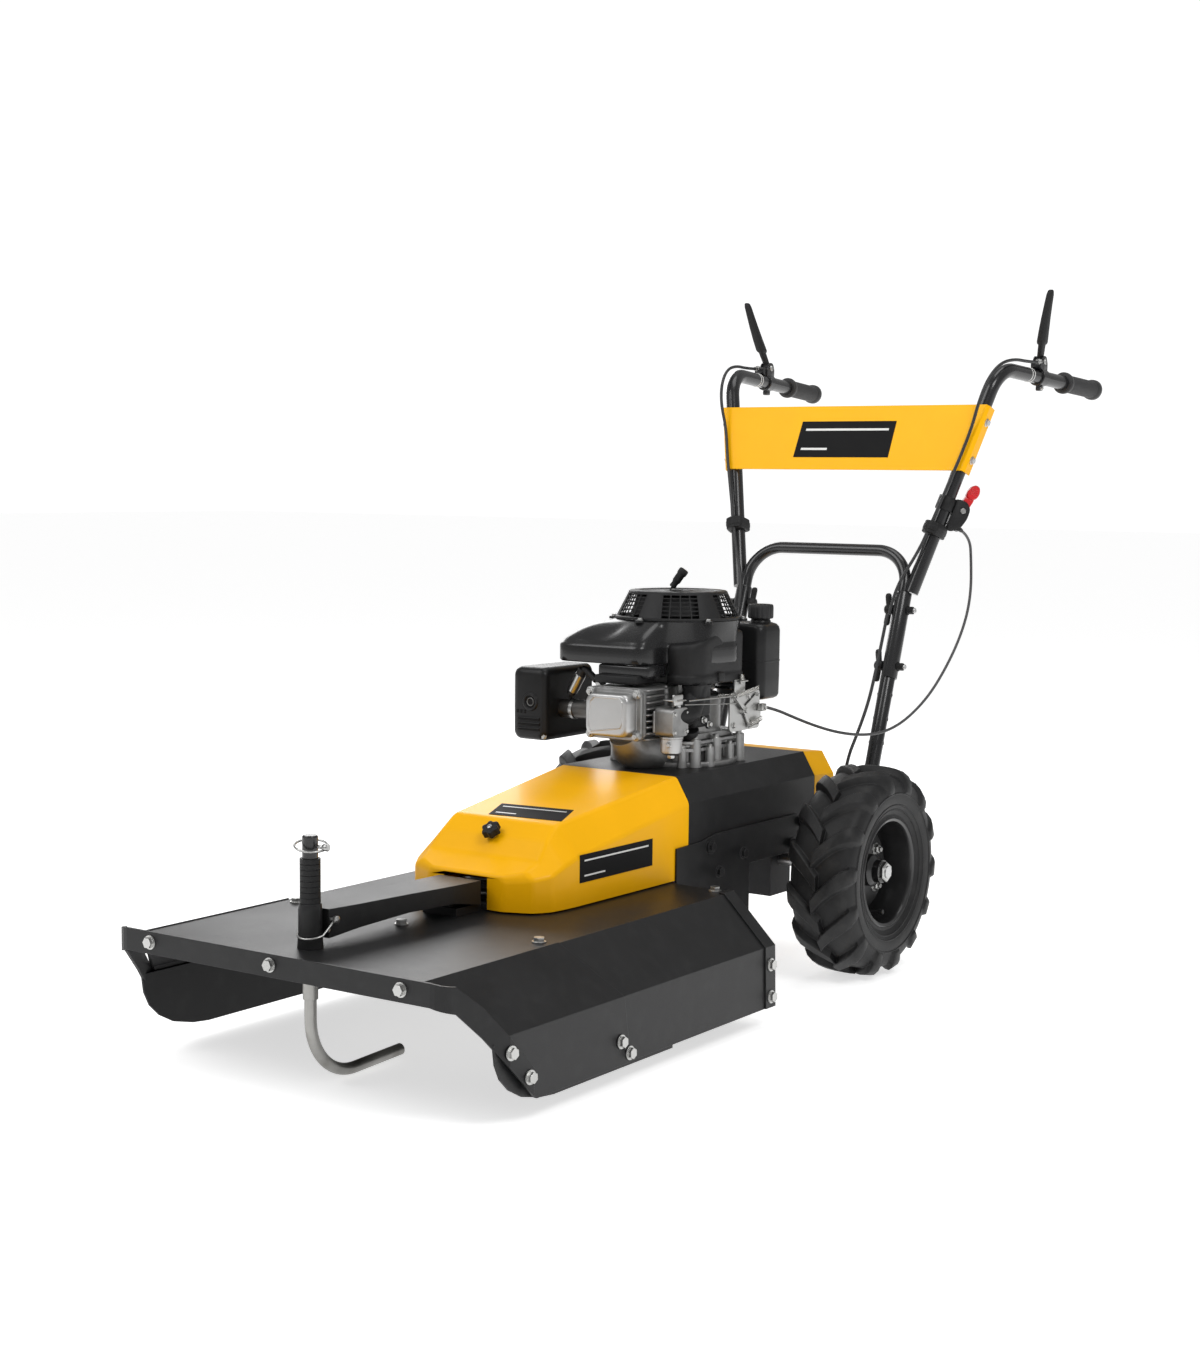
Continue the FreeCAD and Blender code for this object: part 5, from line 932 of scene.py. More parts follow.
p = Piece("throttle_control_parts")
p.loft([[(x, a, b) for a, b in rrect(EY + 4, EY + 96, 392, 454, 7)] for x in (94.2, 96.8)], "zinc", smooth=False)
p.block((72.2, EY + 20, 391.4), (96, EY + 44, 395), "zinc", 0.9)
for y, z, r in ((16, 402, 4.2), (16, 444, 4.2), (88, 402, 4.2), (60, 444, 3.6), (72, 400, 3.2)):
    p.hexbolt((96.7, EY + y, z), (1, 0, 0), "zinc", r * 0.86, 3.0, r * 1.2, 0.7)
p.disc_caps([(0, 0), (9, 0), (9, 2), (6.8, 2.2), (6.8, 8.0), (4.2, 8.2), (4.2, 11.6), (0, 11.6)], (94.4, EY + 44, 424), (1, 0, 0), "zinc", 32)
for a, b, wd in (((99, EY + 44, 424), (99, EY + 84, 446), 4.6), ((101.5, EY + 44, 424), (101.5, EY + 14, 448), 4.0), ((99.5, EY + 44, 424), (99.5, EY + 60, 398), 3.8)):
    a, b = Vector(a), Vector(b)
    d = (b - a).normalized()
    s_ = d.cross(Vector((1, 0, 0))) * wd
    p.loft([[tuple(a - d * 4 - s_ + Vector((h, 0, 0))), tuple(a - d * 4 + s_ + Vector((h, 0, 0))), tuple(b + d * 3 + s_ * 0.7 + Vector((h, 0, 0))), tuple(b + d * 3 - s_ * 0.7 + Vector((h, 0, 0)))] for h in (-0.9, 0.9)], "zinc", smooth=False)
    p.rod((b.x - 3, b.y, b.z), (b.x + 4, b.y, b.z), 2.2, "zinc", 14)


def spring(piece, a, b, r, wire, turns, m):
    a, b = Vector(a), Vector(b)
    d = (b - a).normalized()
    s1 = d.orthogonal().normalized()
    s2 = d.cross(s1)
    n = int(turns * 12)
    piece.tube([tuple(a + (b - a) * (i / n) + s1 * (r * math.cos(2 * math.pi * i / 12)) + s2 * (r * math.sin(2 * math.pi * i / 12))) for i in range(n + 1)], wire, m, 6)


spring(p, (103, EY + 12, 449), (104, EY + 78, 458), 2.9, 0.6, 18, "spring_steel")
spring(p, (103, EY + 58, 400), (103, EY + 92, 408), 3.2, 0.7, 10, "spring_steel")
spring(p, (90, EY - 20, 452), (97, EY + 10, 450), 2.4, 0.5, 9, "spring_steel")
p.rod((100, EY - 120, 452), (100, EY + 18, 449), 1.15, "zinc", 10)
p.rod((95, EY - 124, 446), (99, EY + 30, 436), 1.0, "zinc", 10)
p.block((97.2, EY + 88, 419.2), (106.8, EY + 101.6, 430.8), "zinc", 1.6)
p.hexbolt((106.6, EY + 95, 425), (1, 0, 0), "zinc", 3.4, 3.0, 4.6, 0.7)
p.block((94.4, EY + 92, 408), (97, EY + 100, 430), "zinc", 0.8)
# angled bracket that stands above the plate
p.block((93, EY + 20, 452), (96, EY + 52, 474), "zinc", 1.0)
p.block((86, EY + 24, 470), (104, EY + 48, 472.6), "zinc", 0.9)
p.rod((98, EY + 36, 466), (98, EY + 36, 482), 2.6, "zinc", 14)
spring(p, (98, EY + 36, 473), (98, EY + 36, 481), 4.1, 0.6, 5, "spring_steel")
p.object("frame", "zinc", "throttle_linkage", sharp=40)

# crankcase: round base, stacked flanges, bolt columns and webs
p = Piece("crankcase_casting")


def plan(rr, z, squash_=1.0):
    return [(x, EY + y, z) for x, y in rr]


p.disc_caps([(0, 341), (96, 341), (96.5, 342.2), (96.5, 347.6), (95, 349), (0, 349)], (0, EY, 0), (0, 0, 1), "alloy", 96)
body_ = rrect(-76, 76, -76, 76, 30, 9)
for z0, z1, g_ in ((348.5, 366, -3), (365.5, 372, 4.5), (372, 377, 0.5), (377, 383, 4.5), (382.5, 393, -3.5)):
    p.loft([plan([(x * (1 + g_ / 76.0), y * (1 + g_ / 76.0)) for x, y in body_], z) for z in (z0 + 0.8, z0 + 1.4, z1 - 1.4, z1 - 0.8)], "alloy")
p.disc_caps([(0, 391), (70, 391), (70, 448), (66, 451), (0, 451)], (0, EY, 0), (0, 0, 1), "alloy", 72)
p.block((-64, EY - 58, 451), (36, EY + 62, 502.8), "alloy", 5)
p.block((-44, EY - 98, 388), (44, EY - 60, 471), "alloy", 5)
for x, y in ((72, -58), (80, -10), (80, 60), (-76, -56), (-78, 50), (20, 82)):
    p.disc_caps([(0, 341.2), (11, 341.2), (9.6, 350), (9.4, 384.5), (0, 384.5)], (x, EY + y, 0), (0, 0, 1), "alloy", 32)
    p.hexbolt((x, EY + y, 384.4), (0, 0, 1), "zinc", 5.8, 4.4, 7.8, 1.2)
for x, y in ((60, -76), (84, -34), (84, 26)):
    p.disc_caps([(0, 341.2), (8.6, 341.2), (7.0, 352), (7.0, 372), (0, 372)], (x, EY + y, 0), (0, 0, 1), "alloy", 28)
    p.hexbolt((x, EY + y, 371.8), (0, 0, 1), "zinc", 4.6, 3.6, 6.2, 1.0)
for k in range(9):
    a = math.radians(-80 + 20 * k)
    c_, s_ = math.cos(a), math.sin(a)
    q = Matrix.Rotation(a, 3, "Z")
    p.block((70 * c_ - 13, EY + 70 * s_ - 1.6, 349), (70 * c_ + 13, EY + 70 * s_ + 1.6, 366), "alloy", 1.2, rot=q)
# lower part of the cylinder under the valve cover, rounded towards the base
p.tube([(2, -318, 398), (2, -300, 378), (2, -268, 366), (2, -240, 362)], 30, "alloy", 36, radii=[26, 33, 38, 40])
p.rod((0, EY, 300), (0, EY, 341.5), 34, "alloy", 48)
# filler plug
p.disc_caps([(0, 0), (15, 0), (15, 3), (11, 4), (11, 15), (13.5, 16), (13.5, 24), (12, 26), (0, 26)], (58, EY - 56, 383), (0.45, -0.45, 0.77), "plastic_black", 24)
p.object("frame", "alloy", "crankcase", sharp=42)

# cylinder head with fins
p = Piece("cylinder_head_casting")
p.block((-42, EY - 166, 392), (42, EY - 99, 470), "alloy", 4)
for k in range(9):
    z = 391 + 9.4 * k
    p.loft([[(x, y, z + h) for x, y in rrect(-53 + g_, 53 - g_, EY - 163 + g_, EY - 103 - g_, 7)] for h, g_ in ((0, 0.7), (0.5, 0), (1.9, 0), (2.4, 0.7))], "alloy")
p.loft([[(x, y, z) for x, z in rrect(-48, 52, 390.5, 471, 12)] for y in (EY - 173.0, EY - 167)], "alloy", smooth=False)
p.rod((-43, EY - 132, 455), (-62, EY - 132, 472), 6.0, "zinc", 6)
p.block((-50, EY - 160, 474), (30, EY - 108, 487), "plastic_black", 3)
p.block((-50, EY - 150, 484), (44, EY - 100, 502.6), "engine_black", 4)
p.object("frame", "alloy", "cylinder_head", sharp=40)

# ------------------------------------------------------------------ wheels
p = Piece("tyre_pair")
q = Piece("rim_pair")
prof = [(84.5, -38), (85, -43.5), (88.5, -46.5), (93, -45.5), (97, -47.5), (104, -51.5), (113, -54.3), (124, -55.2), (134, -54.2), (143, -51.5), (149.5, -47), (153.6, -39), (155.6, -28), (156.6, -14), (157, 0)]
prof = prof + [(r, -h) for r, h in reversed(prof[:-1])]


def carcass_r(x):
    ax = abs(x)
    pts = [(0, 157), (14, 156.6), (28, 155.6), (39, 153.6), (47, 149.5), (51.5, 143), (54.2, 134), (55.2, 124)]
    for (x0, r0), (x1, r1) in zip(pts[:-1], pts[1:]):
        if ax <= x1:
            return r0 + (r1 - r0) * (ax - x0) / (x1 - x0)
    return 124.0


for s in (-1, 1):
    cx = 251.7 * s
    p.lathe(prof, (cx, 0, 168), (1, 0, 0), "tyre", 120, closed=True)
    for r, h, wd in ((101, 50.4, 1.0), (108.5, 53.4, 0.8), (127, 55.6, 1.0)):
        for e in (-1, 1):
            p.lathe([(r - wd, e * (h - 1.4)), (r - wd * 0.6, e * (h + 0.7)), (r + wd * 0.6, e * (h + 0.7)), (r + wd, e * (h - 1.4))], (cx, 0, 168), (1, 0, 0), "tyre", 120)
    for e in (-1, 1):
        for k in range(14):
            a0 = 360.0 / 14 * k + (360.0 / 28 if e < 0 else 0)
            path = [(-5, 168.2, 0.0, 4.5), (6, 168.1, 4.5, 4.4), (18, 167.8, 8.6, 4.5), (30, 167.0, 12.2, 4.7), (41, 164.6, 15.0, 5.0), (49.5, 158.5, 17.0, 5.1), (55.0, 149.5, 18.2, 5.0), (57.8, 139.0, 18.8, 4.6), (58.2, 130.5, 19.0, 3.8)]
            secs = []
            for x, ro, lag, half in path:
                if x < 50:
                    ri = carcass_r(x) - 3.0
                    ang = lambda d_: math.radians(a0 + (lag + d_))
                    pts_ = []
                    for r_, d_ in ((ri, -half * 1.30), (ro - 1.2, -half * 0.92), (ro, -half * 0.78), (ro, half * 0.78), (ro - 1.2, half * 0.92), (ri, half * 1.30)):
                        pts_.append((cx + s * 0 + e * x, r_ * math.sin(ang(d_)), 168 + r_ * math.cos(ang(d_))))
                else:
                    xi = {55.0: 50.5, 57.8: 53.0, 58.2: 53.8}[x]
                    ang = lambda d_: math.radians(a0 + (lag + d_))
                    pts_ = []
                    for xx, r_, d_ in ((xi, ro - 5.5, -half * 1.30), (x - 1.0, ro, -half * 0.92), (x, ro + 0.4, -half * 0.78), (x, ro + 0.4, half * 0.78), (x - 1.0, ro, half * 0.92), (xi, ro - 5.5, half * 1.30)):
                        pts_.append((cx + e * xx, r_ * math.sin(ang(d_)), 168 + r_ * math.cos(ang(d_))))
                secs.append(pts_)
            p.loft(secs, "tyre")
    fl_ = s
    rp = [(10, -26), (26, -26), (26, 2), (58, 2), (64, -2), (70, -12), (79.5, -14), (80, -42), (82, -46.5), (86, -48.2), (88.2, -46.8), (87.4, -44.6), (84.6, -43.0), (83.6, -39.6), (83.6, 39.6), (84.6, 43.0), (87.4, 44.6), (88.2, 46.8), (86, 48.2), (82, 46.5), (80, 42), (80, -9), (73, -8), (67, 1), (61, 6), (26, 6), (26, 20), (24, 22), (18.5, 25), (18.5, 36), (10, 36)]
    q.lathe([(r, h * 1.0) for r, h in rp], (cx, 0, 168), (fl_, 0, 0), "rim_black", 96)
    for k in range(4):
        a = math.radians(45 + 90 * k)
        q.hexbolt((s * (251.7 + 6), 42 * math.cos(a), 168 + 42 * math.sin(a)), (s, 0, 0), "zinc", 8.0, 6.0, 10.5, 1.8)
        q.rod((s * (251.7 + 12), 42 * math.cos(a), 168 + 42 * math.sin(a)), (s * (251.7 + 18), 42 * math.cos(a), 168 + 42 * math.sin(a)), 4.0, "zinc", 16)
    q.disc_caps([(10.2, 0), (16.5, 0), (16.5, 6.5), (14.5, 8.6), (10.2, 8.6)], (s * (251.7 + 36), 0, 168), (s, 0, 0), "zinc", 6)
    q.rod((s * (251.7 - 10), 0, 168 - 72), (s * (251.7 + 30), 0, 168 - 66), 3.2, "rubber", 14)
    q.rod((s * (251.7 + 30), 0, 168 - 66), (s * (251.7 + 38), 0, 168 - 65), 4.2, "plastic_black", 14)
p.object("wheels", "tyre", "tyres", sharp=38)
q.object("wheels", "rim_black", "wheel_rims", sharp=32)

# ------------------------------------------------------------------ handle: bent tubes
LEG = Vector((0, 0.345, 1)).normalized()


def on_leg(z, dx=0.0, dy=0.0, s=1):
    return (s * (158.0 + dx), 308.0 + (z - 603.0) * 0.345 + dy, z)


p = Piece("lower_handle_tube")
hoop = arc_path([on_leg(590, s=-1), on_leg(667, s=-1), on_leg(667), on_leg(590)], [62, 62], 4.0)
p.tube(hoop, 10.2, "tube_black", 32)
for s in (-1, 1):
    a, b = Vector(on_leg(246.2, s=s)), Vector(on_leg(596, s=s))
    d = (b - a).normalized()
    ln = (b - a).length
    p.disc_caps([(9.9, 0.0), (11.8, 0), (12.5, 0.8), (12.5, ln - 3.2), (11.6, ln - 1.2), (10.6, ln - 0.2), (10.2, ln)], tuple(a), tuple(d), "tube_black", 48)
    # adjusting holes: a dark disc for each, painted shade of the bore, in a small rim
    for z in (424, 384, 344):
        c_ = on_leg(z, s=s)
        for e in (-1, 1):
            p.disc_caps([(0, 0), (3.3, 0), (3.3, 0.12), (0, 0.12)], (c_[0] + e * 12.3, c_[1], c_[2]), (e, 0, 0), "dark_print_and_painted_shade", 20)
            p.lathe([(3.2, -0.3), (3.5, 0.35), (4.3, 0.35), (4.6, -0.3)], (c_[0] + e * 12.25, c_[1], c_[2]), (e, 0, 0), "tube_black", 20)
    p.block((s * 141.2 - 2, 140, 232), (s * 141.2 + 2, 204, 306), "tube_black", 1.6)
    p.block((min(s * 143, s * 152), 164, 240), (max(s * 143, s * 152), 204, 300), "tube_black", 2.0)
    p.block((min(s * 130.3, s * 142.8), 75, 236), (max(s * 130.3, s * 142.8), 150, 252), "tube_black", 1.8)
    for y, z in ((152, 246), (152, 292), (90, 244), (126, 244)):
        p.hexbolt((s * 143.0, y, z), (s, 0, 0), "zinc", 6.4, 4.8, 8.6, 1.4)
p.object("frame", "panel_black", "lower_handle", sharp=40)

A = Vector(on_leg(596, 12.8, 4.0))
B = Vector((269.0, 428.0, 984.0))
C = Vector((295.0, 789.0, 959.0))
tdir = (B - A).normalized()
gdir = (C - B).normalized()
side_out = tdir.cross(Vector((0, -1, 0))).normalized()
if side_out.x < 0:
    side_out = -side_out
front_out = side_out.cross(tdir).normalized()
if front_out.y > 0:
    front_out = -front_out


def on_tube(z):
    return A + (B - A) * ((z - A.z) / (B.z - A.z))


def on_grip(d):
    return C - gdir * d


def mx(v, s):
    return (s * v[0], v[1], v[2])


p = Piece("upper_handle_tubes")
g = Piece("grip_pair")
for s in (-1, 1):
    path = arc_path([tuple(A), tuple(B), tuple(C)], [58.0], 4.0)
    p.tube([mx(v, s) for v in path], 12.5, "tube_black", 40)
    # half shell that holds the leg
    a = Vector(on_leg(452))
    ln = 152.0
    n_ = 20
    ex_ = Vector((1, 0, 0))
    ey_ = LEG.cross(ex_)
    secs = []
    for h in (0.0, 1.0, ln - 1.0, ln):
        k = 0.985 if h in (0.0, ln) else 1.0
        ring = []
        for i in range(n_ + 1):
            t = math.radians(-88 + 176 * i / n_)
            ring.append(mx(a + LEG * h + ex_ * (15.4 * k * math.cos(t)) + ey_ * (15.4 * k * math.sin(t)), s))
        for i in range(n_, -1, -1):
            t = math.radians(-88 + 176 * i / n_)
            ring.append(mx(a + LEG * h + ex_ * (12.95 * math.cos(t)) + ey_ * (12.95 * math.sin(t)), s))
        secs.append(ring)
    p.loft(secs, "tube_black")
    # two thin pale bands near the bend
    for d in (262.0, 254.0):
        c_ = on_grip(d)
        p.lathe([(12.45, -1.0), (12.95, -0.8), (12.95, 0.8), (12.45, 1.0)], mx(c_, s), mx(gdir, s), "decal_light", 40)
    # ribbed grip
    base = on_grip(124.0)
    L = 124.0
    prof_ = [(12.6, -1), (17.6, -1), (19.4, 0.6), (19.5, 5), (18.6, 9.2), (16.4, 11)]
    x_ = 12.5
    while x_ < L - 16:
        prof_ += [(15.2, x_), (15.8, x_ + 0.7), (15.8, x_ + 2.4), (15.2, x_ + 3.1)]
        x_ += 4.1
    prof_ += [(16.0, L - 12), (18.3, L - 9.5), (18.6, L - 6), (18.5, L - 0.5), (16.8, L + 2.0), (11.0, L + 2.9), (0.0, L + 2.9)]
    g.disc_caps([(12.6, -1)] + prof_[1:], mx(base, s), mx(gdir, s), "grip_rubber", 56)
p.object("upper_handle", "panel_black", "handle_tubes", sharp=40)
g.object("upper_handle", "grip_rubber", "grips", sharp=50)

# ------------------------------------------------------------------ clutch levers, throttle, wing knobs
LP = Vector((279.664, 576.06, 1000.747))
TIP = Vector((309.0, 546.0, 1124.0))
for label, s in (("clutch_lever_left", 1), ("clutch_lever_right", -1)):
    p = Piece(label + "_moulding")
    secs = []
    stations = [(0.0, 4.8, 6.0), (0.05, 5.0, 7.2), (0.205, 5.2, 8.4), (0.225, 7.6, 10.4), (0.25, 8.3, 11.2), (0.40, 7.9, 10.6), (0.60, 7.1, 9.2), (0.80, 6.3, 7.8), (0.93, 5.8, 6.8), (0.985, 4.6, 5.2), (1.0, 2.8, 3.0)]
    for t, hx, hy in stations:
        c_ = LP.lerp(TIP, t) + Vector((0, -3.2 * math.sin(math.pi * t), 6.0 * (1 - t)))
        c_.z = LP.z + 5 + (TIP.z - LP.z - 5) * t
        ring = []
        for i in range(24):
            a = 2 * math.pi * i / 24
            ca, sa = math.cos(a), math.sin(a)
            k = (abs(ca) ** 3.2 + abs(sa) ** 3.2) ** (-1 / 3.2)
            ring.append(mx(c_ + Vector((hx * ca * k, hy * sa * k, 0)), s))
        secs.append(ring)
    p.loft(secs, "plastic_black")
    for e in (-1, 1):
        pass
    p.disc_caps([(3.58, -5.4), (8.6, -5.4), (9.0, -5.0), (9.0, 5.0), (8.6, 5.4), (3.58, 5.4)], mx(LP, s), (1, 0, 0), "plastic_black", 40)
    # raised rib down the blade
    p.tube([mx(LP.lerp(TIP, t) + Vector((0, -9.4 + 3.4 * t - 3.2 * math.sin(math.pi * t), 0)), s) for t in (0.25, 0.4, 0.55, 0.7, 0.85)], 1.3, "plastic_black", 10)
    p.object(label, "plastic_black", label, sharp=50)

PR = 12.5
th = on_tube(744)
u = (side_out * 0.80 - front_out * 0.60).normalized()
v = tdir.cross(u).normalized()
tp = th + u * (PR + 17.5) + tdir * 4


def uvt(o, a, b, c):
    return o + u * a + v * b + tdir * c


def uv_loft(piece, o, outline, b0, b1, m, edge=1.4):
    """Plate in the (u, tube) plane, thick along v, with softened edges."""
    cx = sum(a for a, c in outline) / len(outline)
    cz = sum(c for a, c in outline) / len(outline)
    secs = []
    for b, k in ((b0, 1 - edge * 0.05), (b0 + edge, 1.0), (b1 - edge, 1.0), (b1, 1 - edge * 0.05)):
        secs.append([tuple(uvt(o, cx + (a - cx) * k, b, cz + (c - cz) * k)) for a, c in outline])
    piece.loft(secs, m)


def round_outline(pts, r=3.0, n=5):
    out = []
    m_ = len(pts)
    for i in range(m_):
        p0, p1, p2 = Vector(pts[i - 1]), Vector(pts[i]), Vector(pts[(i + 1) % m_])
        a = (p0 - p1).normalized()
        b = (p2 - p1).normalized()
        rr = min(r, (p0 - p1).length * 0.45, (p2 - p1).length * 0.45)
        s0, s1 = p1 + a * rr, p1 + b * rr
        for k in range(n + 1):
            t = k / n
            q_ = s0 * (1 - t) ** 2 + p1 * (2 * t * (1 - t)) + s1 * t ** 2
            out.append((q_.x, q_.y))
    return out


p = Piece("throttle_housing_moulding")
cheek = round_outline([(PR + 1.6, -34), (PR + 16, -34), (PR + 25, -24), (PR + 30, -6), (PR + 29, 12), (PR + 19, 21), (PR + 1.6, 21)], 7)
uv_loft(p, th, cheek, 7.6, 11.4, "plastic_black")
uv_loft(p, th, cheek, -11.4, -7.6, "plastic_black")
uv_loft(p, th, round_outline([(PR + 1.6, -24), (PR + 6.0, -24), (PR + 6.0, 20), (PR + 1.6, 20)], 1.2), -11, 11, "plastic_black")
uv_loft(p, th, round_outline([(PR + 1.6, -30.6), (PR + 25, -30.6), (PR + 27, -25), (PR + 1.6, -25)], 2), -11, 11, "plastic_black")
p.lathe([(PR + 0.1, -6), (PR + 3.0, -6), (PR + 3.4, -5.4), (PR + 3.4, 17.4), (PR + 3.0, 18), (PR + 0.1, 18)], tuple(th), tuple(tdir), "plastic_black", 56)
p.rod(tuple(tp - v * 13.4), tuple(tp + v * 13.4), 4.0, "zinc", 24)
for e in (-1, 1):
    p.disc_caps([(0, 0), (5.6, 0), (5.6, 1.4), (4.6, 2.4), (0, 2.4)], tuple(tp + v * (11.3 * e)), tuple(v * e), "zinc", 6)
gn = Vector((0, LEG.z, -LEG.y))
gl = th + u * (PR + 13) - tdir * 22
p.disc_caps([(0, 0), (5.2, 0), (5.2, 9), (4.4, 10), (4.4, 22), (3.4, 33.9), (0, 33.9)], tuple(gl), tuple(gn), "plastic_black", 28)
p.object("upper_handle", "plastic_black", "throttle_housing", sharp=45)

p = Piece("throttle_lever_moulding")
# red blade: hub, a neck and a wide thumb leaf
out_ = round_outline([(-7.6, -5), (-3, -8.6), (4, -8.6), (8.2, -3), (9.5, 8), (13.0, 24), (10.0, 32), (-2.0, 32), (-5.0, 20), (-7.8, 6)], 4.0, 5)
uv_loft(p, tp, out_, -6.3, 6.3, "lever_red", 1.8)
leaf = round_outline([(-3.0, 25), (8.0, 22.5), (15.5, 28), (18.0, 39), (14.0, 49.0), (6.0, 51.0), (-1.0, 45.0), (-4.6, 34)], 5.5, 6)
uv_loft(p, tp, leaf, -9.4, 4.4, "lever_red", 2.8)
p.disc_caps([(4.06, -6.7), (7.6, -6.7), (8.1, -6.2), (8.1, 6.2), (7.6, 6.7), (4.06, 6.7)], tuple(tp), tuple(v), "lever_red", 40)
for k in range(4):
    a = 33 + 3.2 * k
    p.rod(tuple(uvt(tp, 0.0 + 0.4 * k, -9.3, a)), tuple(uvt(tp, 13.5 - 0.4 * k, -9.3, a)), 0.8, "lever_red", 8)
p.object("throttle_lever", "lever_red", "throttle_lever", sharp=50)

for (s, z), label in {(1, 567): "wing_knob_left_upper", (1, 472): "wing_knob_left_lower", (-1, 567): "wing_knob_right_upper", (-1, 472): "wing_knob_right_lower"}.items():
    c_ = Vector(on_leg(z, s=s))
    hx = c_.x - s * 13.1
    p = Piece(label + "_moulding")
    p.disc_caps([(0, 0), (7.6, 0), (8.5, 1.2), (8.5, 11), (7.4, 14), (5.0, 15.4), (0, 15.4)], (hx, c_.y, c_.z), (-s, 0, 0), "plastic_black", 36)
    for e in (-1, 1):
        secs = []
        for t, w_, d0, d1 in ((4.0, 5.6, 3.0, 13.0), (10, 4.6, 3.6, 14.2), (17, 4.0, 4.4, 15.6), (23, 4.8, 5.0, 16.2), (26.4, 4.4, 6.2, 15.2), (27.8, 2.2, 8.6, 13.0)):
            ring = []
            for i in range(16):
                a = 2 * math.pi * i / 16
                ring.append((hx - s * ((d0 + d1) / 2 + (d1 - d0) / 2 * math.sin(a)), c_.y + w_ * math.cos(a) + e * t * 0.10, c_.z + e * t))
            secs.append(ring)
        p.loft(secs, "plastic_black")
    p.object(label, "plastic_black", label, sharp=60)

# ------------------------------------------------------------------ pins and clips at the height post
PY = -1031.0
p = Piece("lynch_pin_wire")
ring = []
for i in range(48):
    a = 2 * math.pi * i / 48
    ring.append((2 + 21.5 * math.cos(a), PY + 21.5 * math.sin(a) * 0.98, 319.5 - 21.5 * math.cos(a) * 0.16 + 21.5 * math.sin(a) * 0.16))
p.tube(ring, 1.6, "zinc", 12, closed=True)
p.rod((10.1, PY, 319.5), (26, PY, 319.5), 2.4, "zinc", 18)
p.disc_caps([(0, 0), (3.6, 0), (4.6, 1.0), (4.6, 8.0), (3.6, 9.0), (0, 9.0)], (22.5, PY, 319.5), (1, 0, 0), "zinc", 28)
p.disc_caps([(0, 0), (10.2, 0), (10.2, 0.6), (8.8, 2.2), (0, 2.2)], (0, PY, 330.9), (0, 0, 1), "tube_black", 40)
p.lathe([(9.9, -29), (10.35, -28.6), (10.35, -0.3), (9.9, 0.0)], (0, PY, 330.9), (0, 0, 1), "tube_black", 40)
p.object("skid", "zinc", "lynch_pin", sharp=45)
p = Piece("spring_clip_wire")
ring = []
for i in range(44):
    a = math.radians(18 + 330 * i / 43)
    ring.append((3.5 + 20.5 * math.cos(a), PY + 2 + 20.5 * math.sin(a), 208 + 20.5 * math.sin(a) * 0.30 - 20.5 * math.cos(a) * 0.05))
ring += [(24.5, PY + 10, 215.5), (25.4, PY + 14.5, 220.5), (25.8, PY + 17, 224)]
p.tube(ring, 1.5, "zinc", 12)
p.disc_caps([(0, 0), (4.4, 0), (5.2, 0.9), (5.2, 5.6), (4.2, 6.5), (0, 6.5)], (25.5, PY + 17, 224), (1, 0.1, 0), "zinc", 28)
p.rod((17.6, PY + 17, 224), (26, PY + 17, 224), 2.4, "zinc", 16)
p.object("frame", "zinc", "spring_clip", sharp=45)


def on_panel(x, z):
    """A point on the handle panel's flat front."""
    return (x, 375.274 + (z - 865.041) * (0.291902 / 0.956448), z)


plate("handle_panel_plate", [on_panel(-98, 829), on_panel(92, 829), on_panel(98, 893), on_panel(-90, 893)], (0, -0.956448, 0.291902), "upper_handle")

# bolts through the panel's flanges, cap nuts on the legs and the cable clips
p = Piece("handle_bolts_and_clips")
for s in (-1, 1):
    for z in (828, 893):
        p.hexbolt(mx(on_tube(z) + side_out * (PR + 3.0), s), mx(side_out, s), "steel", 5.6, 4.2, 7.2, 1.2)
    for z in (567, 472):
        c_ = on_leg(z, s=s)
        p.disc_caps([(0, 0), (8.2, 0), (8.2, 1.6), (6.6, 2.0), (6.6, 9.6), (5.6, 11.2), (0, 11.2)], (c_[0] + s * 15.2, c_[1], c_[2]), (s, 0, 0), "plastic_black", 6)
        p.disc_caps([(0, 0), (4.2, 0), (4.2, 2.6), (3.4, 3.4), (0, 3.4)], (c_[0] + s * 26.2, c_[1], c_[2]), (s, 0, 0), "steel", 24)
    clip = round_outline([(-17.5, -15.5), (15.5, -15.5), (17.5, 4), (12, 22.5), (-4, 26.5), (-17.5, 18)], 5.5, 5)
    secs = []
    for h, k in ((0.0, 0.93), (1.6, 1.0), (20.4, 1.0), (22.0, 0.93)):
        secs.append([mx(on_tube(694) + tdir * h + side_out * (a_ * k) + front_out * (b_ * k), s) for a_, b_ in clip])
    p.loft(secs, "plastic_black")
    secs = []
    for h in (7.0, 15.0):
        secs.append([mx(on_tube(694) + tdir * h + side_out * (a_ * 1.035) + front_out * (b_ * 1.035), s) for a_, b_ in clip])
    p.loft(secs, "plastic_black")
p.object("upper_handle", "zinc", "handle_fittings", sharp=45)

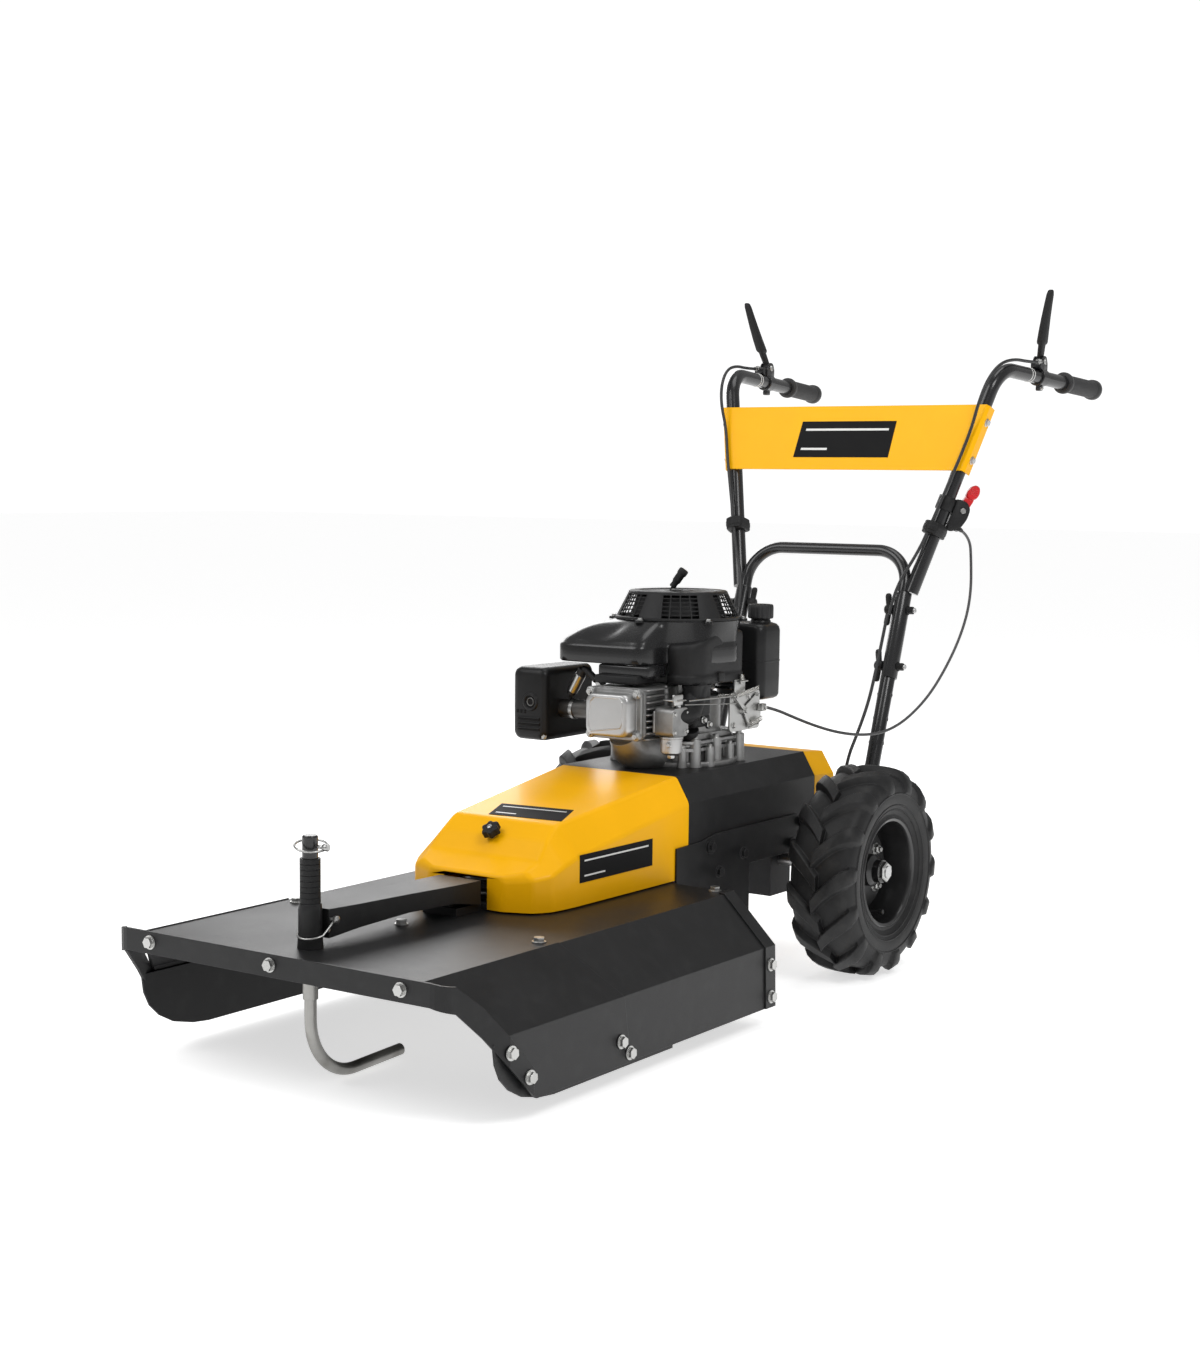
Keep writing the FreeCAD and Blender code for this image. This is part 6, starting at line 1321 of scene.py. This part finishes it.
# lever brackets: clamp, cheeks, front block with the cable's adjuster, and the pivot pin
p = Piece("lever_bracket_set")
for s in (-1, 1):
    p.lathe([(12.55, -11), (15.0, -11), (15.9, -10.2), (15.9, 10.2), (15.0, 11), (12.55, 11)], mx(on_grip(214.0), s), mx(gdir, s), "tube_black", 48)
    bz = on_grip(214.0).z
    face = round_outline([(-13, 9), (13, 9), (13, 26), (7, 37.4), (-7, 37.4), (-14, 24)], 5.0, 6)
    for x0 in (6.3, -9.3):
        secs = []
        for dx, k in ((0, 0.95), (0.7, 1.0), (2.4, 1.0), (3.1, 0.95)):
            secs.append([mx((LP.x + x0 + dx, LP.y + a_ * k, bz + 23 + (b_ - 23) * k), s) for a_, b_ in face])
        p.loft(secs, "tube_black")
    front = round_outline([(-25, 16), (-12, 10), (-10.5, 10), (-10.5, 22), (-14, 27), (-25, 29)], 3.0, 5)
    secs = []
    for dx, k in ((-6.6, 0.94), (-5.2, 1.0), (11.0, 1.0), (12.6, 0.94)):
        secs.append([mx((LP.x + dx, LP.y - 17.5 + (a_ + 17.5) * k, bz + 20 + (b_ - 20) * k), s) for a_, b_ in front])
    p.loft(secs, "tube_black")
    bd = Vector((0, -1, -0.05)).normalized()
    b0 = LP + Vector((7.8, -20, -1.0))
    p.disc_caps([(0, 0), (5.4, 0), (5.4, 3.0), (4.6, 3.6), (4.6, 6.0), (3.9, 6.6), (3.9, 12.0), (0, 12.0)], mx(b0, s), mx(bd, s), "zinc", 24)
    for e in (-1, 1):
        p.disc_caps([(0, 0), (5.6, 0), (5.6, 1.6), (4.4, 2.8), (0, 2.8)], mx(LP + Vector((9.4 * e, 0, 0)), s), (s * e, 0, 0), "zinc", 24)
    p.rod(mx(LP + Vector((-9.5, 0, 0)), s), mx(LP + Vector((9.5, 0, 0)), s), 3.5, "zinc", 24)
    # clamp ears and their screw under the tube
    p.block((min(s * (LP.x - 4), s * (LP.x + 4)), LP.y - 8, bz - 24), (max(s * (LP.x - 4), s * (LP.x + 4)), LP.y + 8, bz - 14), "tube_black", 2.0)
    p.disc_caps([(0, 0), (3.8, 0), (3.8, 2.4), (3.0, 3.0), (0, 3.0)], (s * (LP.x + 4), LP.y, bz - 19), (s, 0, 0), "zinc", 20)
p.object("upper_handle", "zinc", "lever_brackets", sharp=45)

# ------------------------------------------------------------------ cables
def spline(name, points, radius, material):
    cu = bpy.data.curves.new(name, "CURVE")
    cu.dimensions = "3D"
    cu.bevel_depth = radius / 1000.0
    cu.bevel_resolution = 5
    cu.resolution_u = 10
    cu.use_fill_caps = True
    s = cu.splines.new("NURBS")
    s.points.add(len(points) - 1)
    for pt, q_ in zip(s.points, points):
        w = mm(*q_)
        pt.co = (w.x, w.y, w.z, 1.0)
    s.order_u = 3
    s.use_endpoint_u = True
    cu.materials.append(M[material])
    ob = bpy.data.objects.new(name, cu)
    scene.collection.objects.link(ob)
    return ob


cs = gl + gn * 34
c1 = cs + gn * 38
cable_pts = [tuple(cs), tuple(c1), (224.0, 434.0, 648.0), (230.0, 424.0, 600.0), (234.0, 402.0, 556.0), (233.0, 370.0, 510.0), (226.0, 336.0, 465.0),
             (216.0, 300.0, 424.0), (204.0, 262.0, 394.0), (196.0, 222.0, 376.0), (186.0, 180.0, 366.0), (172.0, 130.0, 366.0), (152.0, 84.0, 374.0), (132.0, 42.0, 388.0), (116.0, 2.0, 404.0), (106.0, -34.0, 418.0), (102.0, -66.0, 425.0)]
throttle = spline("throttle_cable_sheath", cable_pts, 2.4, "cable_grey")
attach(throttle, "frame")
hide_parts("throttle_cable")

start = LP + Vector((7.8, -12, -1.0)) + Vector((0, -1, -0.05)).normalized() * 20.05
c_up = [tuple(start), tuple(start + Vector((-1.6, -36, -0.6))), (281.0, 464.0, 1000.5), (274.5, 420.0, 992.0), (266.5, 388.0, 964.0), (258.0, 373.8, 926.0)]


def beside(z, off_f, off_s=0.0):
    return tuple(on_tube(z) + front_out * (PR + off_f) + side_out * off_s)


c_up += [beside(876, 9.6, 3), beside(824, 9.4, 3), beside(768, 8.6, 0), beside(712, 7.6, -3), beside(660, 8.0, -6), on_leg(604, -6.0, -24.0), on_leg(560, -8.0, -22.5)]
c_lo = [on_leg(560, -8.0, -29.6), on_leg(512, -9.5, -29.0), on_leg(462, -11.0, -29.0), on_leg(412, -13.5, -30.0), (139.0, 186.0, 362.0), (132.5, 160.0, 316.0), (132.0, 150.0, 268.0)]
for s, tag in ((1, "left"), (-1, "right")):
    o = spline("clutch_cable_upper_" + tag, [mx(q_, s) for q_ in c_up], 2.8, "cable_black")
    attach(o, "upper_handle")
    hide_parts("clutch_cables_upper")
    o = spline("clutch_cable_lower_" + tag, [mx(q_, s) for q_ in c_lo], 2.8, "cable_black")
    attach(o, "frame")
    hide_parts("clutch_cables_lower")
